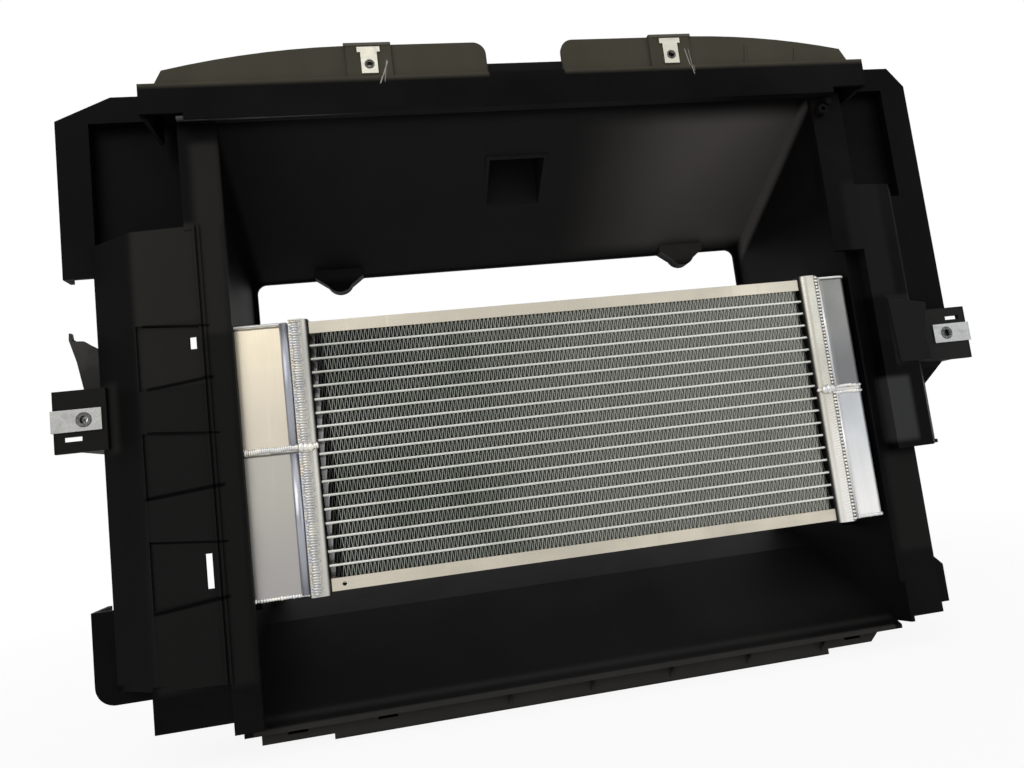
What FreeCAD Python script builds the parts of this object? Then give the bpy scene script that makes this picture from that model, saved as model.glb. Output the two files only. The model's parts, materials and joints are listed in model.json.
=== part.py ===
import FreeCAD, Part
import Sketcher
import math
import os

# Liquid to air heat exchanger, seated in its moulded air duct.
#
# All pieces are drawn in the core frame: X to the right from the duct's middle plane,
# Y backwards from the core's front face, Z up from the core's middle height. One
# placement then moves them to the row frame, which stands on the duct's lower edges.

DOC = FreeCAD.newDocument("heat_exchanger")

SIZES = (
    # The finned core
    ("core_width", 392.0, "tube length seen between the two headers"),
    ("core_depth", 42.0, "depth of tubes and fins"),
    ("tube_count", 17, "flat tubes, one above the other"),
    ("tube_height", 2.0, "outside height of a flat tube"),
    ("tube_wall", 0.4, "wall of a flat tube"),
    ("tube_nose", 0.8, "corner radius of a tube's section"),
    ("tube_insertion", 3.0, "how far a tube reaches into its header"),
    ("braze_gap", 0.05, "clearance round a tube, a neck or a bung in its hole"),
    ("fin_height", 8.0, "height of a row of fins"),
    ("fin_pitch", 3.1, "length of one whole fold of the fin strip"),
    ("fin_foil", 0.2, "thickness of the fin strip"),
    ("fin_setback", 6.0, "bare tube between the fins and each header"),
    ("plate_height", 9.0, "height of the side plates"),
    ("plate_wall", 1.5, "sheet of the side plates"),
    ("plate_dimple", 1.6, "radius of the locating hole near the lower side plate's end"),
    ("plate_dimple_inset", 9.0, "that hole's distance from the plate's left end"),
    # Headers and tanks
    ("header_width", 14.0, "width of a header seen from the front"),
    ("header_wall", 2.0, "sheet of a header"),
    ("header_radius", 6.0, "bend of a header at the core side"),
    ("header_proud", 4.0, "how far a header stands proud of the core's faces"),
    ("header_end", 2.0, "how far a header passes the side plates"),
    ("tank_proud", 2.0, "how far a tank stands proud of the core's faces"),
    ("tank_wall", 2.5, "sheet of a tank"),
    ("tank_corner", 6.0, "radius of a tank's outer corners"),
    ("tank_width_left", 51.0, "left tank from header to end"),
    ("tank_width_right", 27.0, "right tank from header to end"),
    ("baffle_sheet", 2.0, "plate between upper and lower half of a tank"),
    ("baffle_rim", 0.5, "how far that plate's edge stands proud"),
    # Hose necks on the back of the left tank
    ("neck_radius", 16.0, "outside radius of a hose neck"),
    ("neck_wall", 2.5, "wall of a hose neck"),
    ("neck_length", 42.0, "length of a neck behind the tank"),
    ("neck_bead", 1.5, "height of the bead that holds the hose"),
    ("neck_bead_inset", 7.0, "bead's distance from the open end"),
    ("neck_height", 58.0, "neck's height above and below the middle"),
    ("neck_inset", 31.0, "neck's distance from the tank's end"),
    # Screws that hold the tanks between the duct's side walls
    ("screw_radius", 3.0, "screw's shank"),
    ("screw_reach", 14.0, "length of shank past the duct's wall"),
    ("screw_flange", 7.0, "radius of the flange under the head"),
    ("flange_height", 1.6, "height of that flange"),
    ("screw_hex", 5.0, "half the width across the head's flats"),
    ("hex_height", 4.4, "height of the hexagon"),
    ("screw_height", 78.0, "screw's height above and below the middle"),
    ("thread_gap", 0.05, "clearance round the shank in its bung"),
    ("hole_gap", 0.4, "clearance round the shank in wall and isolator"),
    ("bung_radius", 7.0, "threaded bung welded into a tank's end"),
    ("bung_length", 16.0, "length of a bung"),
    ("isolator_sheet", 3.0, "rubber washer between tank and duct"),
    ("isolator_radius", 10.0, "radius of that washer"),
    ("foam_sheet", 3.0, "foam strip behind each tank"),
    ("foam_width", 9.0, "width of the foam strip"),
    # Duct: the funnel
    ("wall", 3.0, "wall of the moulding"),
    ("side_foot", 84.0, "front lower corner of the side walls below the core"),
    ("duct_reach", 184.0, "depth of the duct behind the core's front face"),
    ("ledge_width", 11.0, "ledge behind the tanks that backs the foam"),
    ("ledge_end", 12.0, "how far the ledge passes the core"),
    ("air_gap", 80.0, "rear opening's height above the core"),
    ("sill_gap", 17.0, "rear opening's depth below the core"),
    ("opening_lip", 4.0, "rear frame seen inside the side walls"),
    ("opening_corner", 9.0, "corner radius of the rear opening"),
    ("panel_front", 15.0, "front edge of the top panel"),
    ("panel_rise", 167.0, "front edge of the top panel above the core"),
    ("floor_front", 5.0, "front edge of the bottom panel"),
    ("floor_drop", 88.0, "front edge of the bottom panel below the core"),
    ("floor_knee", 120.0, "depth at which the bottom panel turns"),
    ("knee_drop", 35.0, "that turn's depth below the core"),
    ("frame_border", 24.0, "width of the rear frame outside the side walls"),
    ("frame_top", 16.0, "rear frame above the rear opening"),
    ("boss_radius", 13.0, "round end of the lobes that hang from the rear opening's upper edge"),
    ("boss_shoulder", 23.0, "half a lobe's width at that edge"),
    ("boss_flank", 11.5, "half a lobe's width where its round end starts"),
    ("boss_drop", 8.5, "depth of that place below the edge"),
    ("boss_length", 14.0, "length of those lobes"),
    ("boss_bore", 3.0, "screw hole of those lobes"),
    ("boss_left", 168.0, "left lobe from the middle"),
    ("boss_right", 186.0, "right lobe from the middle"),
    ("boss_lift", -1.0, "lobes' centre above the opening's edge"),
    ("window_width", 49.0, "recessed window of the top panel"),
    ("window_front", 60.0, "window's front edge"),
    ("window_back", 108.0, "window's back edge"),
    ("window_depth", 22.0, "height of the box over the window"),
    # Duct: band, flaps and corners along the top
    ("band_front", 20.0, "front of the band ahead of the core's face"),
    ("band_low", 156.0, "lower edge of the band above the core"),
    ("band_high", 179.0, "upper edge of the band above the core"),
    ("band_half", 286.0, "half the band's length"),
    ("lip_height", 5.0, "thickened lower lip of the band"),
    ("lip_depth", 8.0, "depth of that lip"),
    ("lip_half", 256.0, "half the lip's length"),
    ("flap_front", 16.0, "front of the flaps ahead of the core's face"),
    ("flap_inner", 30.0, "flap's inner edge from the middle"),
    ("flap_outer", 278.0, "flap's outer foot from the middle"),
    ("flap_shoulder", 270.0, "flap's outer shoulder from the middle"),
    ("shoulder_rise", 191.0, "height of that shoulder above the core"),
    ("flap_crown", 140.0, "where the flap's top turns level"),
    ("flap_rise", 206.0, "level top of the flap above the core"),
    ("flap_sweep", 640.0, "radius of the flap's falling outer edge"),
    ("flap_corner", 10.0, "radius of the flap's inner corner"),
    ("curb_rise", 188.0, "low curb between the flaps above the core"),
    ("pad_half", 17.0, "half the width of the thick pad under a top clip nut"),
    ("pad_centre", 120.0, "that pad from the middle"),
    ("pad_rise", 207.0, "top of that pad above the core"),
    ("pad_thick", 5.0, "thickness of that pad"),
    ("corner_reach", 107.0, "top corner's outer edge from the side wall"),
    ("corner_face", 30.0, "depth of the top corner's face"),
    ("corner_rise", 179.0, "top corner's outer edge above the core"),
    ("corner_peak", 197.0, "top corner's peak above the core"),
    ("peak_left", 66.0, "left corner's peak from the side wall"),
    ("peak_right", 93.0, "right corner's peak from the side wall"),
    ("corner_depth", 14.0, "depth of the top corners' outer edge"),
    ("corner_drop_left", 54.0, "foot of the left corner above the core"),
    ("niche_reach", 83.0, "outer side of the dark niche from the side wall"),
    ("niche_inset", 9.0, "inner side of that niche from the side wall"),
    ("niche_rise", 76.0, "sill of that niche above the core"),
    ("niche_depth", 40.0, "depth of that niche's back wall"),
    # Duct: the side strips
    ("strip_front", 8.0, "front of the strips ahead of the core's face"),
    ("strip_sheet", 4.0, "sheet of the strips"),
    ("rim_overlap", 16.0, "rim that covers the left tank's end"),
    ("rim_right", 11.0, "short rim over the right tank, inside the side wall"),
    ("rib_height", 1.6, "ribs that run along the rim"),
    ("rib_width", 1.6, "thickness of every small rib"),
    ("strip_width", 48.0, "flat of the strips from the side wall"),
    ("strip_fall", 6.0, "how far the flat falls back to its outer edge"),
    ("skirt_reach", 83.0, "left outer skirt from the side wall"),
    ("skirt_right", 70.0, "right outer skirt from the side wall"),
    ("skirt_front", 24.0, "front edge of the outer skirt"),
    ("skirt_back", 66.0, "back edge of the outer skirt"),
    ("ladder_sink", 1.6, "depth of the ladder's sunk fields"),
    ("ladder_inset", 4.0, "bare border beside the ladder's fields"),
    ("ladder_tilt", 5.0, "how far a ladder line tilts over its length"),
    ("line_one", 102.0, "first ladder line above the middle"),
    ("line_two", 60.0, "second ladder line above the middle"),
    ("line_three", 25.0, "third ladder line above the middle"),
    ("line_four", 17.0, "fourth ladder line below the middle"),
    ("line_five", 50.0, "fifth ladder line below the middle"),
    ("line_six", 92.0, "sixth ladder line below the middle"),
    ("slot_width", 5.0, "width of the slots in the strip"),
    ("slot_inset", 6.5, "slots' distance from the side wall"),
    ("slot_upper", 84.0, "foot of the upper slot above the middle"),
    ("slot_upper_length", 9.0, "length of the upper slot"),
    ("slot_lower", 84.0, "foot of the lower slot below the middle"),
    ("slot_lower_length", 24.0, "length of the lower slot"),
    ("strip_low", 50.0, "foot of the left strip below the core"),
    ("notch_high", 20.0, "top of the cut-out beside the right tank, above the core"),
    ("notch_low", 54.0, "foot of that cut-out, below the core"),
    ("notch_width", 13.0, "strip cut away beside the right tank"),
    ("notch_depth", 6.0, "depth of the return wall in that cut-out"),
    ("right_step", 50.0, "height above the core's foot where the right strip ends"),
    ("right_waist", 36.0, "right skirt below that end, from the side wall"),
    # Duct: brackets for the side clip nuts, ears and feet
    ("bracket_reach", 113.0, "bracket's outer edge from the side wall"),
    ("bracket_front", 16.0, "front of the brackets behind the core's face"),
    ("bracket_sheet", 4.0, "sheet of the brackets"),
    ("bracket_high", 66.0, "bracket's top above the middle"),
    ("bracket_low", 21.0, "bracket's foot above the middle"),
    ("bracket_web", 20.0, "gusset under the right bracket"),
    ("bracket_slot", 13.0, "length of the slot beside a side clip nut"),
    ("bracket_slot_width", 3.4, "width of that slot"),
    ("ear_reach", 102.0, "left lower ear's outer edge from the side wall"),
    ("ear_high", 4.0, "top of the left lower ear above the core's foot"),
    ("ear_low", 62.0, "foot of the left lower ear below the core's foot"),
    ("right_ear_reach", 64.0, "right lower ear's outer edge from the side wall"),
    ("right_ear_high", 39.0, "top of the right lower ear below the core's foot"),
    ("right_ear_low", 84.0, "foot of the right lower ear below the core's foot"),
    ("ear_corner", 14.0, "radius or bevel of the lower ears"),
    ("ear_face", 34.0, "depth of the lower ears' face"),
    ("fin_ear_rise", 107.0, "top of the thin ear over the left bracket"),
    ("fin_ear_reach", 103.0, "that ear's outer tip from the side wall"),
    ("apron_left", 52.0, "left apron's outer edge from the side wall"),
    ("apron_drop", 77.0, "foot of the left apron below the core"),
    ("hem_front", 17.0, "front of the lower hem"),
    ("hem_left", 243.0, "hem's left end from the middle"),
    ("hem_right", 242.0, "hem's right end from the middle"),
    ("hem_bevel", 11.0, "bevel of the hem's right end"),
    ("hem_step", 193.0, "middle part of the hem that the part stands on, to each side"),
    ("hem_rise", 4.0, "how much higher the hem's ends are"),
    ("foot_drop", 105.0, "lower edges that the part stands on, below the core"),
    ("hem_ribs", 5, "gussets between bottom panel and hem"),
    ("hem_rib_first", 64.0, "first gusset left of the middle"),
    ("hem_rib_step", 63.0, "distance from gusset to gusset"),
    ("hem_slot", 14.0, "length of the slots in the hem"),
    ("hem_slot_left", 18.0, "left slot's distance from the hem's left end"),
    ("hem_slot_inner", -161.5, "place of the inner slot, left of the middle"),
    ("hem_slot_right", 20.0, "right slot's distance from the hem's right end"),
    ("hem_pocket", 9.0, "depth of the closed pocket behind each slot"),
    ("hem_slot_width", 4.0, "width of those slots"),
    # Clip nuts
    ("clip_sheet", 1.3, "spring steel of the clip nuts"),
    ("clip_hole", 3.0, "radius of the thread in the side clip nuts"),
    ("clip_barrel", 4.6, "radius of their threaded barrel"),
    ("clip_barrel_length", 6.0, "length of that barrel"),
    ("side_clip_width", 16.0, "width of a side clip nut"),
    ("side_clip_length", 33.0, "length of a side clip nut"),
    ("side_clip_height", 44.0, "height of a side clip nut above the middle"),
    ("side_clip_hole_inset", 21.0, "its thread from the bracket's outer edge"),
    ("top_clip_width", 12.4, "width of a top clip nut"),
    ("top_clip_head", 17.2, "width of its folded head"),
    ("top_clip_head_height", 3.0, "height of that head below its bend"),
    ("top_clip_length", 20.0, "length of a top clip nut below its bend"),
    ("top_clip_seat", 5.2, "foot of the slot it hangs in, below the pad's top"),
    ("clip_gap", 0.5, "clearance round its bend in that slot"),
    ("top_clip_hole", 2.5, "radius of the thread in the top clip nuts"),
    ("top_clip_barrel", 4.0, "radius of their threaded barrel"),
    ("top_clip_hole_drop", 18.0, "its thread below the pad's top"),
    ("barrel_gap", 0.8, "clearance round a barrel in its plate"),
)

sheet = DOC.addObject("Spreadsheet::Sheet", "Sizes")
for row, (alias, value, meaning) in enumerate(SIZES, start=1):
    sheet.set("A%d" % row, alias)
    sheet.set("B%d" % row, str(value))
    sheet.set("C%d" % row, meaning)
    sheet.setAlias("B%d" % row, alias)
DOC.recompute()


class Dim:
    """A length that keeps both its value and the sheet expression behind it."""

    def __init__(self, value, text):
        self.value = float(value)
        self.text = text

    def __add__(self, other):
        return joined(self, "+", other, lambda a, b: a + b)

    def __radd__(self, other):
        return joined(other, "+", self, lambda a, b: a + b)

    def __sub__(self, other):
        return joined(self, "-", other, lambda a, b: a - b)

    def __rsub__(self, other):
        return joined(other, "-", self, lambda a, b: a - b)

    def __mul__(self, other):
        return joined(self, "*", other, lambda a, b: a * b)

    def __rmul__(self, other):
        return joined(other, "*", self, lambda a, b: a * b)

    def __truediv__(self, other):
        return joined(self, "/", other, lambda a, b: a / b)

    def __neg__(self):
        return Dim(-self.value, "(-%s)" % self.text)


def dim(thing):
    """Anything as a Dim, plain numbers included."""
    return thing if isinstance(thing, Dim) else Dim(thing, "(%s)" % repr(float(thing)))


def joined(left, sign, right, rule):
    """Two lengths combined, in value and in words."""
    first, second = dim(left), dim(right)
    return Dim(rule(first.value, second.value), "(%s %s %s)" % (first.text, sign, second.text))


class Sizes:
    """The sheet's aliases as Dims."""

    def __getattr__(self, alias):
        return Dim(sheet.get(alias), "Sizes." + alias)


s = Sizes()


def bind(thing, prop, length):
    """Bind a property to the sheet."""
    thing.setExpression(prop, dim(length).text)


# Sketches

def at(u, v, corner=None, arc=None):
    """An outline's point, with a corner radius or a signed arc to the next point."""
    return {"u": dim(u), "v": dim(v), "corner": corner, "arc": arc}


def toward(point, other):
    """Unit steps from a point to the next one along an axis."""
    du = other["u"].value - point["u"].value
    dv = other["v"].value - point["v"].value
    size = math.hypot(du, dv)
    return round(du / size), round(dv / size)


def spread(outline):
    """The outline with every rounded corner turned into two points and an arc."""
    points = []
    for index, point in enumerate(outline):
        if point["corner"] is None:
            points.append(point)
            continue
        radius = dim(point["corner"])
        back_u, back_v = toward(point, outline[index - 1])
        on_u, on_v = toward(point, outline[(index + 1) % len(outline)])
        left_turn = (-back_u) * on_v - (-back_v) * on_u > 0
        points.append(at(point["u"] + back_u * radius, point["v"] + back_v * radius,
                         arc=radius if left_turn else -radius))
        points.append(at(point["u"] + on_u * radius, point["v"] + on_v * radius, arc=point["arc"]))
    return points


def arc_between(start, end, radius):
    """The short arc between two points; its centre lies left for a positive radius."""
    a = FreeCAD.Vector(start["u"].value, start["v"].value, 0)
    b = FreeCAD.Vector(end["u"].value, end["v"].value, 0)
    chord = b - a
    reach = abs(radius.value)
    rise = math.sqrt(max(reach ** 2 - (chord.Length / 2) ** 2, 0.0))
    side = FreeCAD.Vector(-chord.y, chord.x, 0).normalize() * math.copysign(rise, radius.value)
    centre = (a + b) / 2 + side
    first, last = (a, b) if radius.value > 0 else (b, a)
    begin = math.atan2(first.y - centre.y, first.x - centre.x)
    finish = math.atan2(last.y - centre.y, last.x - centre.x)
    circle = Part.Circle(centre, FreeCAD.Vector(0, 0, 1), reach)
    return Part.ArcOfCircle(circle, begin, finish)


def draw_loop(sketch, outline):
    """Draw one closed outline; every point and radius is bound to the sheet."""
    points = spread(outline)
    first = sketch.GeometryCount
    ends = []
    for index, point in enumerate(points):
        following = points[(index + 1) % len(points)]
        if point["arc"] is None:
            edge = Part.LineSegment(FreeCAD.Vector(point["u"].value, point["v"].value, 0),
                                    FreeCAD.Vector(following["u"].value, following["v"].value, 0))
            ends.append((1, 2))
        else:
            radius = dim(point["arc"])
            edge = arc_between(point, following, radius)
            ends.append((1, 2) if radius.value > 0 else (2, 1))
        sketch.addGeometry(edge, False)
    for index, point in enumerate(points):
        here = first + index
        after = first + (index + 1) % len(points)
        after_start = ends[(index + 1) % len(points)][0]
        sketch.addConstraint(Sketcher.Constraint("Coincident", here, ends[index][1], after, after_start))
        for kind, length in (("DistanceX", point["u"]), ("DistanceY", point["v"])):
            number = sketch.addConstraint(
                Sketcher.Constraint(kind, -1, 1, here, ends[index][0], length.value))
            sketch.setExpression("Constraints[%d]" % number, length.text)
        if point["arc"] is not None:
            radius = dim(point["arc"])
            size = radius if radius.value > 0 else -radius
            number = sketch.addConstraint(Sketcher.Constraint("Radius", here, size.value))
            sketch.setExpression("Constraints[%d]" % number, size.text)


def draw_circle(sketch, u, v, radius):
    """Draw one circle, bound to the sheet."""
    u, v, radius = dim(u), dim(v), dim(radius)
    circle = Part.Circle(FreeCAD.Vector(u.value, v.value, 0), FreeCAD.Vector(0, 0, 1), radius.value)
    here = sketch.addGeometry(circle, False)
    for kind, length in (("DistanceX", u), ("DistanceY", v)):
        number = sketch.addConstraint(Sketcher.Constraint(kind, -1, 1, here, 3, length.value))
        sketch.setExpression("Constraints[%d]" % number, length.text)
    number = sketch.addConstraint(Sketcher.Constraint("Radius", here, radius.value))
    sketch.setExpression("Constraints[%d]" % number, radius.text)


def draw(sketch, loops):
    """Draw outlines, given as lists of points, and circles, given as (u, v, radius)."""
    for loop in loops:
        if isinstance(loop, tuple):
            draw_circle(sketch, *loop)
        else:
            draw_loop(sketch, loop)


def rectangle(u0, u1, v0, v1, corner=None):
    """A rectangle's outline."""
    return [at(u0, v0, corner), at(u1, v0, corner), at(u1, v1, corner), at(u0, v1, corner)]


# Solids for the duct

AXES = {
    "X": (FreeCAD.Vector(1, 0, 0), FreeCAD.Rotation(0.5, 0.5, 0.5, 0.5)),
    "Y": (FreeCAD.Vector(0, 1, 0), FreeCAD.Rotation(FreeCAD.Vector(1, 0, 0), 90)),
    "Z": (FreeCAD.Vector(0, 0, 1), FreeCAD.Rotation()),
}


def prism(name, axis, loops, start, end):
    """A sketch swept along an axis. Sketches read (Y, Z), (X, Z) or (X, Y)."""
    direction, turn = AXES[axis]
    sketch = DOC.addObject("Sketcher::SketchObject", name + "_outline")
    sketch.Placement = FreeCAD.Placement(FreeCAD.Vector(), turn)
    bind(sketch, "Placement.Base." + axis.lower(), start)
    draw(sketch, loops)
    solid = DOC.addObject("Part::Extrusion", name)
    solid.Base = sketch
    solid.DirMode = "Custom"
    solid.Dir = direction
    solid.Solid = True
    bind(solid, "LengthFwd", end - start)
    return solid


def block(name, x0, x1, y0, y1, z0, z1):
    """A plain wall, from its lowest to its highest corner."""
    solid = DOC.addObject("Part::Box", name)
    for prop, low, high in (("Length", x0, x1), ("Width", y0, y1), ("Height", z0, z1)):
        bind(solid, prop, dim(high) - low)
    for axis, low in (("x", x0), ("y", y0), ("z", z0)):
        bind(solid, "Placement.Base." + axis, low)
    return solid


def fused(name, solids):
    """Several solids as one."""
    whole = DOC.addObject("Part::MultiFuse", name)
    whole.Shapes = solids
    whole.Refine = True
    return whole


def sided(side, near, far):
    """Low and high X of a span that lies to the given side of the middle."""
    return (near, far) if side > 0 else (-far, -near)


# Bodies for the exchanger

def new_body(name):
    """An empty body with its label."""
    body = DOC.addObject("PartDesign::Body", name)
    body.Label = name
    return body


def origin_plane(body, role):
    """One of the body's own origin planes or axes."""
    return next(f for f in body.Origin.OriginFeatures if f.Role == role)


def body_sketch(body, name, role, offset, loops):
    """A sketch on an origin plane of the body, moved along the plane's normal."""
    sketch = body.newObject("Sketcher::SketchObject", name)
    sketch.AttachmentSupport = [(origin_plane(body, role), "")]
    sketch.MapMode = "FlatFace"
    bind(sketch, "AttachmentOffset.Base.z", offset)
    draw(sketch, loops)
    return sketch


def sweep_body(body, name, role, start, end, loops, kind="PartDesign::Pad"):
    """Pad or pocket from one depth to another; XZ sketches face backwards."""
    flip = role == "XZ_Plane"
    sketch = body_sketch(body, name + "_outline", role, -start if flip else start, loops)
    feature = body.newObject(kind, name)
    feature.Profile = sketch
    bind(feature, "Length", end - start)
    feature.Reversed = flip if kind == "PartDesign::Pad" else not flip
    DOC.recompute()
    return feature


# Derived lines of the core frame

tubes = int(s.tube_count.value)
pitch = s.tube_height + s.fin_height
core_half = (s.tube_count * s.tube_height + (s.tube_count + 1) * s.fin_height) / 2 + s.plate_height
core_shift = (s.tank_width_left - s.tank_width_right) / 2
core_left = core_shift - s.core_width / 2
core_right = core_shift + s.core_width / 2
exchanger_half = (s.core_width + s.tank_width_left + s.tank_width_right) / 2 + s.header_width
inside = exchanger_half + s.isolator_sheet
outside = inside + s.wall
tank_front = -s.tank_proud
tank_back = s.core_depth + s.tank_proud
header_front = -s.header_proud
header_back = s.core_depth + s.header_proud
floor_line = -(core_half + s.foot_drop)
seam = pitch / 2
row_shift_y = -(s.duct_reach - s.band_front) / 2
row_shift_z = -floor_line

NODES = []


def finish_node(thing, name, lift=0):
    """Label a sub-part and place it in the row frame."""
    thing.Label = name
    bind(thing, "Placement.Base.y", row_shift_y)
    bind(thing, "Placement.Base.z", row_shift_z + lift)
    NODES.append(thing)


def tube_lift(number):
    """Height of a tube above the core's middle, counted from below."""
    return (dim(number) - (s.tube_count - 1) / 2) * pitch


# Core

def make_tube(number):
    """A flat tube with its water way."""
    name = "tube_%02d" % (number + 1)
    body = new_body(name)
    half, wall = s.tube_height / 2, s.tube_wall
    outer = rectangle(dim(0), s.core_depth, -half, half, s.tube_nose)
    inner = rectangle(wall, s.core_depth - wall, wall - half, half - wall, s.tube_nose - wall)
    sweep_body(body, name + "_section", "YZ_Plane", core_left - s.tube_insertion,
               core_right + s.tube_insertion, [outer, inner])
    finish_node(body, name, tube_lift(number))


def fin_shape():
    """The folded strip of one fin row, as thin as foil, touching the tubes with its folds."""
    run = (s.core_width - 2 * s.fin_setback).value
    folds = max(1, round(run / s.fin_pitch.value))
    fold = run / folds
    foil, half = s.fin_foil.value, s.fin_height.value / 2
    left = core_left.value + s.fin_setback.value
    upper = []
    lower = []
    for index in range(folds):
        crest = left + (index + 0.25) * fold
        valley = left + (index + 0.75) * fold
        upper += [(crest - foil, half), (crest + foil, half), (valley, foil - half)]
        lower += [(crest, half - foil), (valley - foil, -half), (valley + foil, -half)]
    points = [FreeCAD.Vector(x, 0, z) for x, z in upper + lower[::-1]]
    face = Part.Face(Part.makePolygon(points + points[:1]))
    return face.extrude(FreeCAD.Vector(0, s.core_depth.value, 0))


def make_fins():
    """One row of fins under, between and over the tubes."""
    shape = fin_shape()
    for number in range(tubes + 1):
        name = "fin_%02d" % (number + 1)
        fin = DOC.addObject("Part::Feature", name)
        fin.Shape = shape.copy()
        finish_node(fin, name, tube_lift(number) - pitch / 2)


def make_side_plate(name, side):
    """Channel that closes the core above or below; the lower one has a small locating hole."""
    body = new_body(name)
    inner, outer, wall = core_half - s.plate_height, core_half, s.plate_wall
    channel = [at(0, side * inner), at(s.core_depth, side * inner), at(s.core_depth, side * outer),
               at(s.core_depth - wall, side * outer), at(s.core_depth - wall, side * (inner + wall)),
               at(wall, side * (inner + wall)), at(wall, side * outer), at(0, side * outer)]
    sweep_body(body, name + "_channel", "YZ_Plane", core_left, core_right, [channel])
    if side < 0:
        hole = (core_left + s.plate_dimple_inset, side * (inner + s.plate_height / 2), s.plate_dimple)
        sweep_body(body, name + "_hole", "XZ_Plane", -wall, 2 * wall, [hole], "PartDesign::Pocket")
    finish_node(body, name)


# Headers and tanks

def make_header(name, side):
    """Bent channel that takes the tubes' ends, closed above and below."""
    body = new_body(name)
    edge = core_right if side > 0 else core_left
    far = edge + side * s.header_width
    near = edge + side * s.header_wall
    front, back, wall, bend = header_front, header_back, s.header_wall, s.header_radius
    top = core_half + s.header_end
    skin = [at(far, front), at(edge, front, bend), at(edge, back, bend), at(far, back)]
    channel = skin + [at(far, back - wall), at(near, back - wall, bend - wall),
                      at(near, front + wall, bend - wall), at(far, front + wall)]
    sweep_body(body, name + "_channel", "XY_Plane", -top, top, [channel])
    sweep_body(body, name + "_upper_end", "XY_Plane", top - wall, top, [skin])
    sweep_body(body, name + "_lower_end", "XY_Plane", -top, wall - top, [skin])
    gap, half = s.braze_gap, s.tube_height / 2
    low = -(s.tube_count - 1) / 2 * pitch
    slot = rectangle(-gap, s.core_depth + gap, low - half - gap, low + half + gap, s.tube_nose)
    start, end = sorted((edge - side * wall, near + side * wall), key=lambda d: d.value)
    cut = sweep_body(body, name + "_slot", "YZ_Plane", start, end, [slot], "PartDesign::Pocket")
    rows = body.newObject("PartDesign::LinearPattern", name + "_slots")
    rows.Originals = [cut]
    rows.Direction = (origin_plane(body, "Z_Axis"), [""])
    bind(rows, "Length", (s.tube_count - 1) * pitch)
    bind(rows, "Occurrences", s.tube_count)
    body.Tip = rows
    finish_node(body, name)


def tank_lines(side):
    """X of the tank's open side and of its end."""
    edge = core_right if side > 0 else core_left
    return edge + side * s.header_width, side * exchanger_half


def make_half_tank(name, side, level):
    """Upper or lower half of a tank: three folded walls and an end plate."""
    body = new_body(name)
    near, end = tank_lines(side)
    wall, corner = s.tank_wall, s.tank_corner
    skin = [at(near, tank_front), at(end, tank_front, corner), at(end, tank_back, corner),
            at(near, tank_back)]
    inner = end - side * wall
    folded = skin + [at(near, tank_back - wall), at(inner, tank_back - wall, corner - wall),
                     at(inner, tank_front + wall, corner - wall), at(near, tank_front + wall)]
    gap, high = s.baffle_sheet / 2, core_half
    if level > 0:
        spans = ((seam + gap, high), (high - wall, high))
    else:
        spans = ((-high, seam - gap), (-high, wall - high))
    sweep_body(body, name + "_walls", "XY_Plane", *spans[0], [folded])
    sweep_body(body, name + "_end", "XY_Plane", *spans[1], [skin])
    hole = (s.core_depth / 2, level * s.screw_height, s.bung_radius + s.braze_gap)
    start, stop = sorted((inner - side * wall, end + side * wall), key=lambda d: d.value)
    sweep_body(body, name + "_bung_hole", "YZ_Plane", start, stop, [hole], "PartDesign::Pocket")
    if side < 0:
        port = (neck_x(), level * s.neck_height, s.neck_radius + s.braze_gap)
        sweep_body(body, name + "_port", "XZ_Plane", tank_back - 2 * wall, tank_back + wall, [port],
                   "PartDesign::Pocket")
    finish_node(body, name)


def neck_x():
    """X of the necks' axis, on the left tank."""
    return s.neck_inset - exchanger_half


def make_baffle(name, side):
    """Plate between the halves of a tank, its edge proud as the weld seam's core."""
    body = new_body(name)
    near, end = tank_lines(side)
    rim, corner = s.baffle_rim, s.tank_corner
    tongue = near - side * (s.header_width - s.header_wall)
    channel_gap = s.braze_gap
    fillet = s.header_radius - s.header_wall
    front, back = tank_front - rim, tank_back
    inner_front, inner_back = header_front + s.header_wall, header_back - s.header_wall
    outline = [at(near, front), at(end + side * rim, front, corner + rim),
               at(end + side * rim, back, corner + rim), at(near, back),
               at(near, inner_back - channel_gap), at(tongue, inner_back - channel_gap, fillet),
               at(tongue, inner_front + channel_gap, fillet), at(near, inner_front + channel_gap)]
    half = s.baffle_sheet / 2
    sweep_body(body, name + "_plate", "XY_Plane", seam - half, seam + half, [outline])
    finish_node(body, name)


def make_neck(name, level):
    """Hose neck with a bead near its open end."""
    body = new_body(name)
    radius, wall = s.neck_radius, s.neck_wall
    base = tank_back - s.tank_wall
    mouth = tank_back + s.neck_length
    crest = mouth - s.neck_bead_inset
    bead = s.neck_bead
    profile = [at(radius - wall, base), at(radius, base), at(radius, crest - 2 * bead),
               at(radius + bead, crest - bead), at(radius + bead, crest), at(radius, crest + bead),
               at(radius, mouth), at(radius - wall, mouth)]
    sketch = body_sketch(body, name + "_profile", "XY_Plane", 0, [profile])
    turned = body.newObject("PartDesign::Revolution", name + "_turned")
    turned.Profile = sketch
    turned.ReferenceAxis = (origin_plane(body, "Y_Axis"), [""])
    turned.Angle = 360
    DOC.recompute()
    finish_node(body, name, level * s.neck_height)
    bind(body, "Placement.Base.x", neck_x())


def four_places():
    """Side and level of each of the four screws."""
    return [(side, level) for side in (-1, 1) for level in (-1, 1)]


def group(name, solids):
    """Like pieces that share one node as separate solids."""
    whole = DOC.addObject("Part::Compound", name)
    whole.Links = solids
    finish_node(whole, name)


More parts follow.
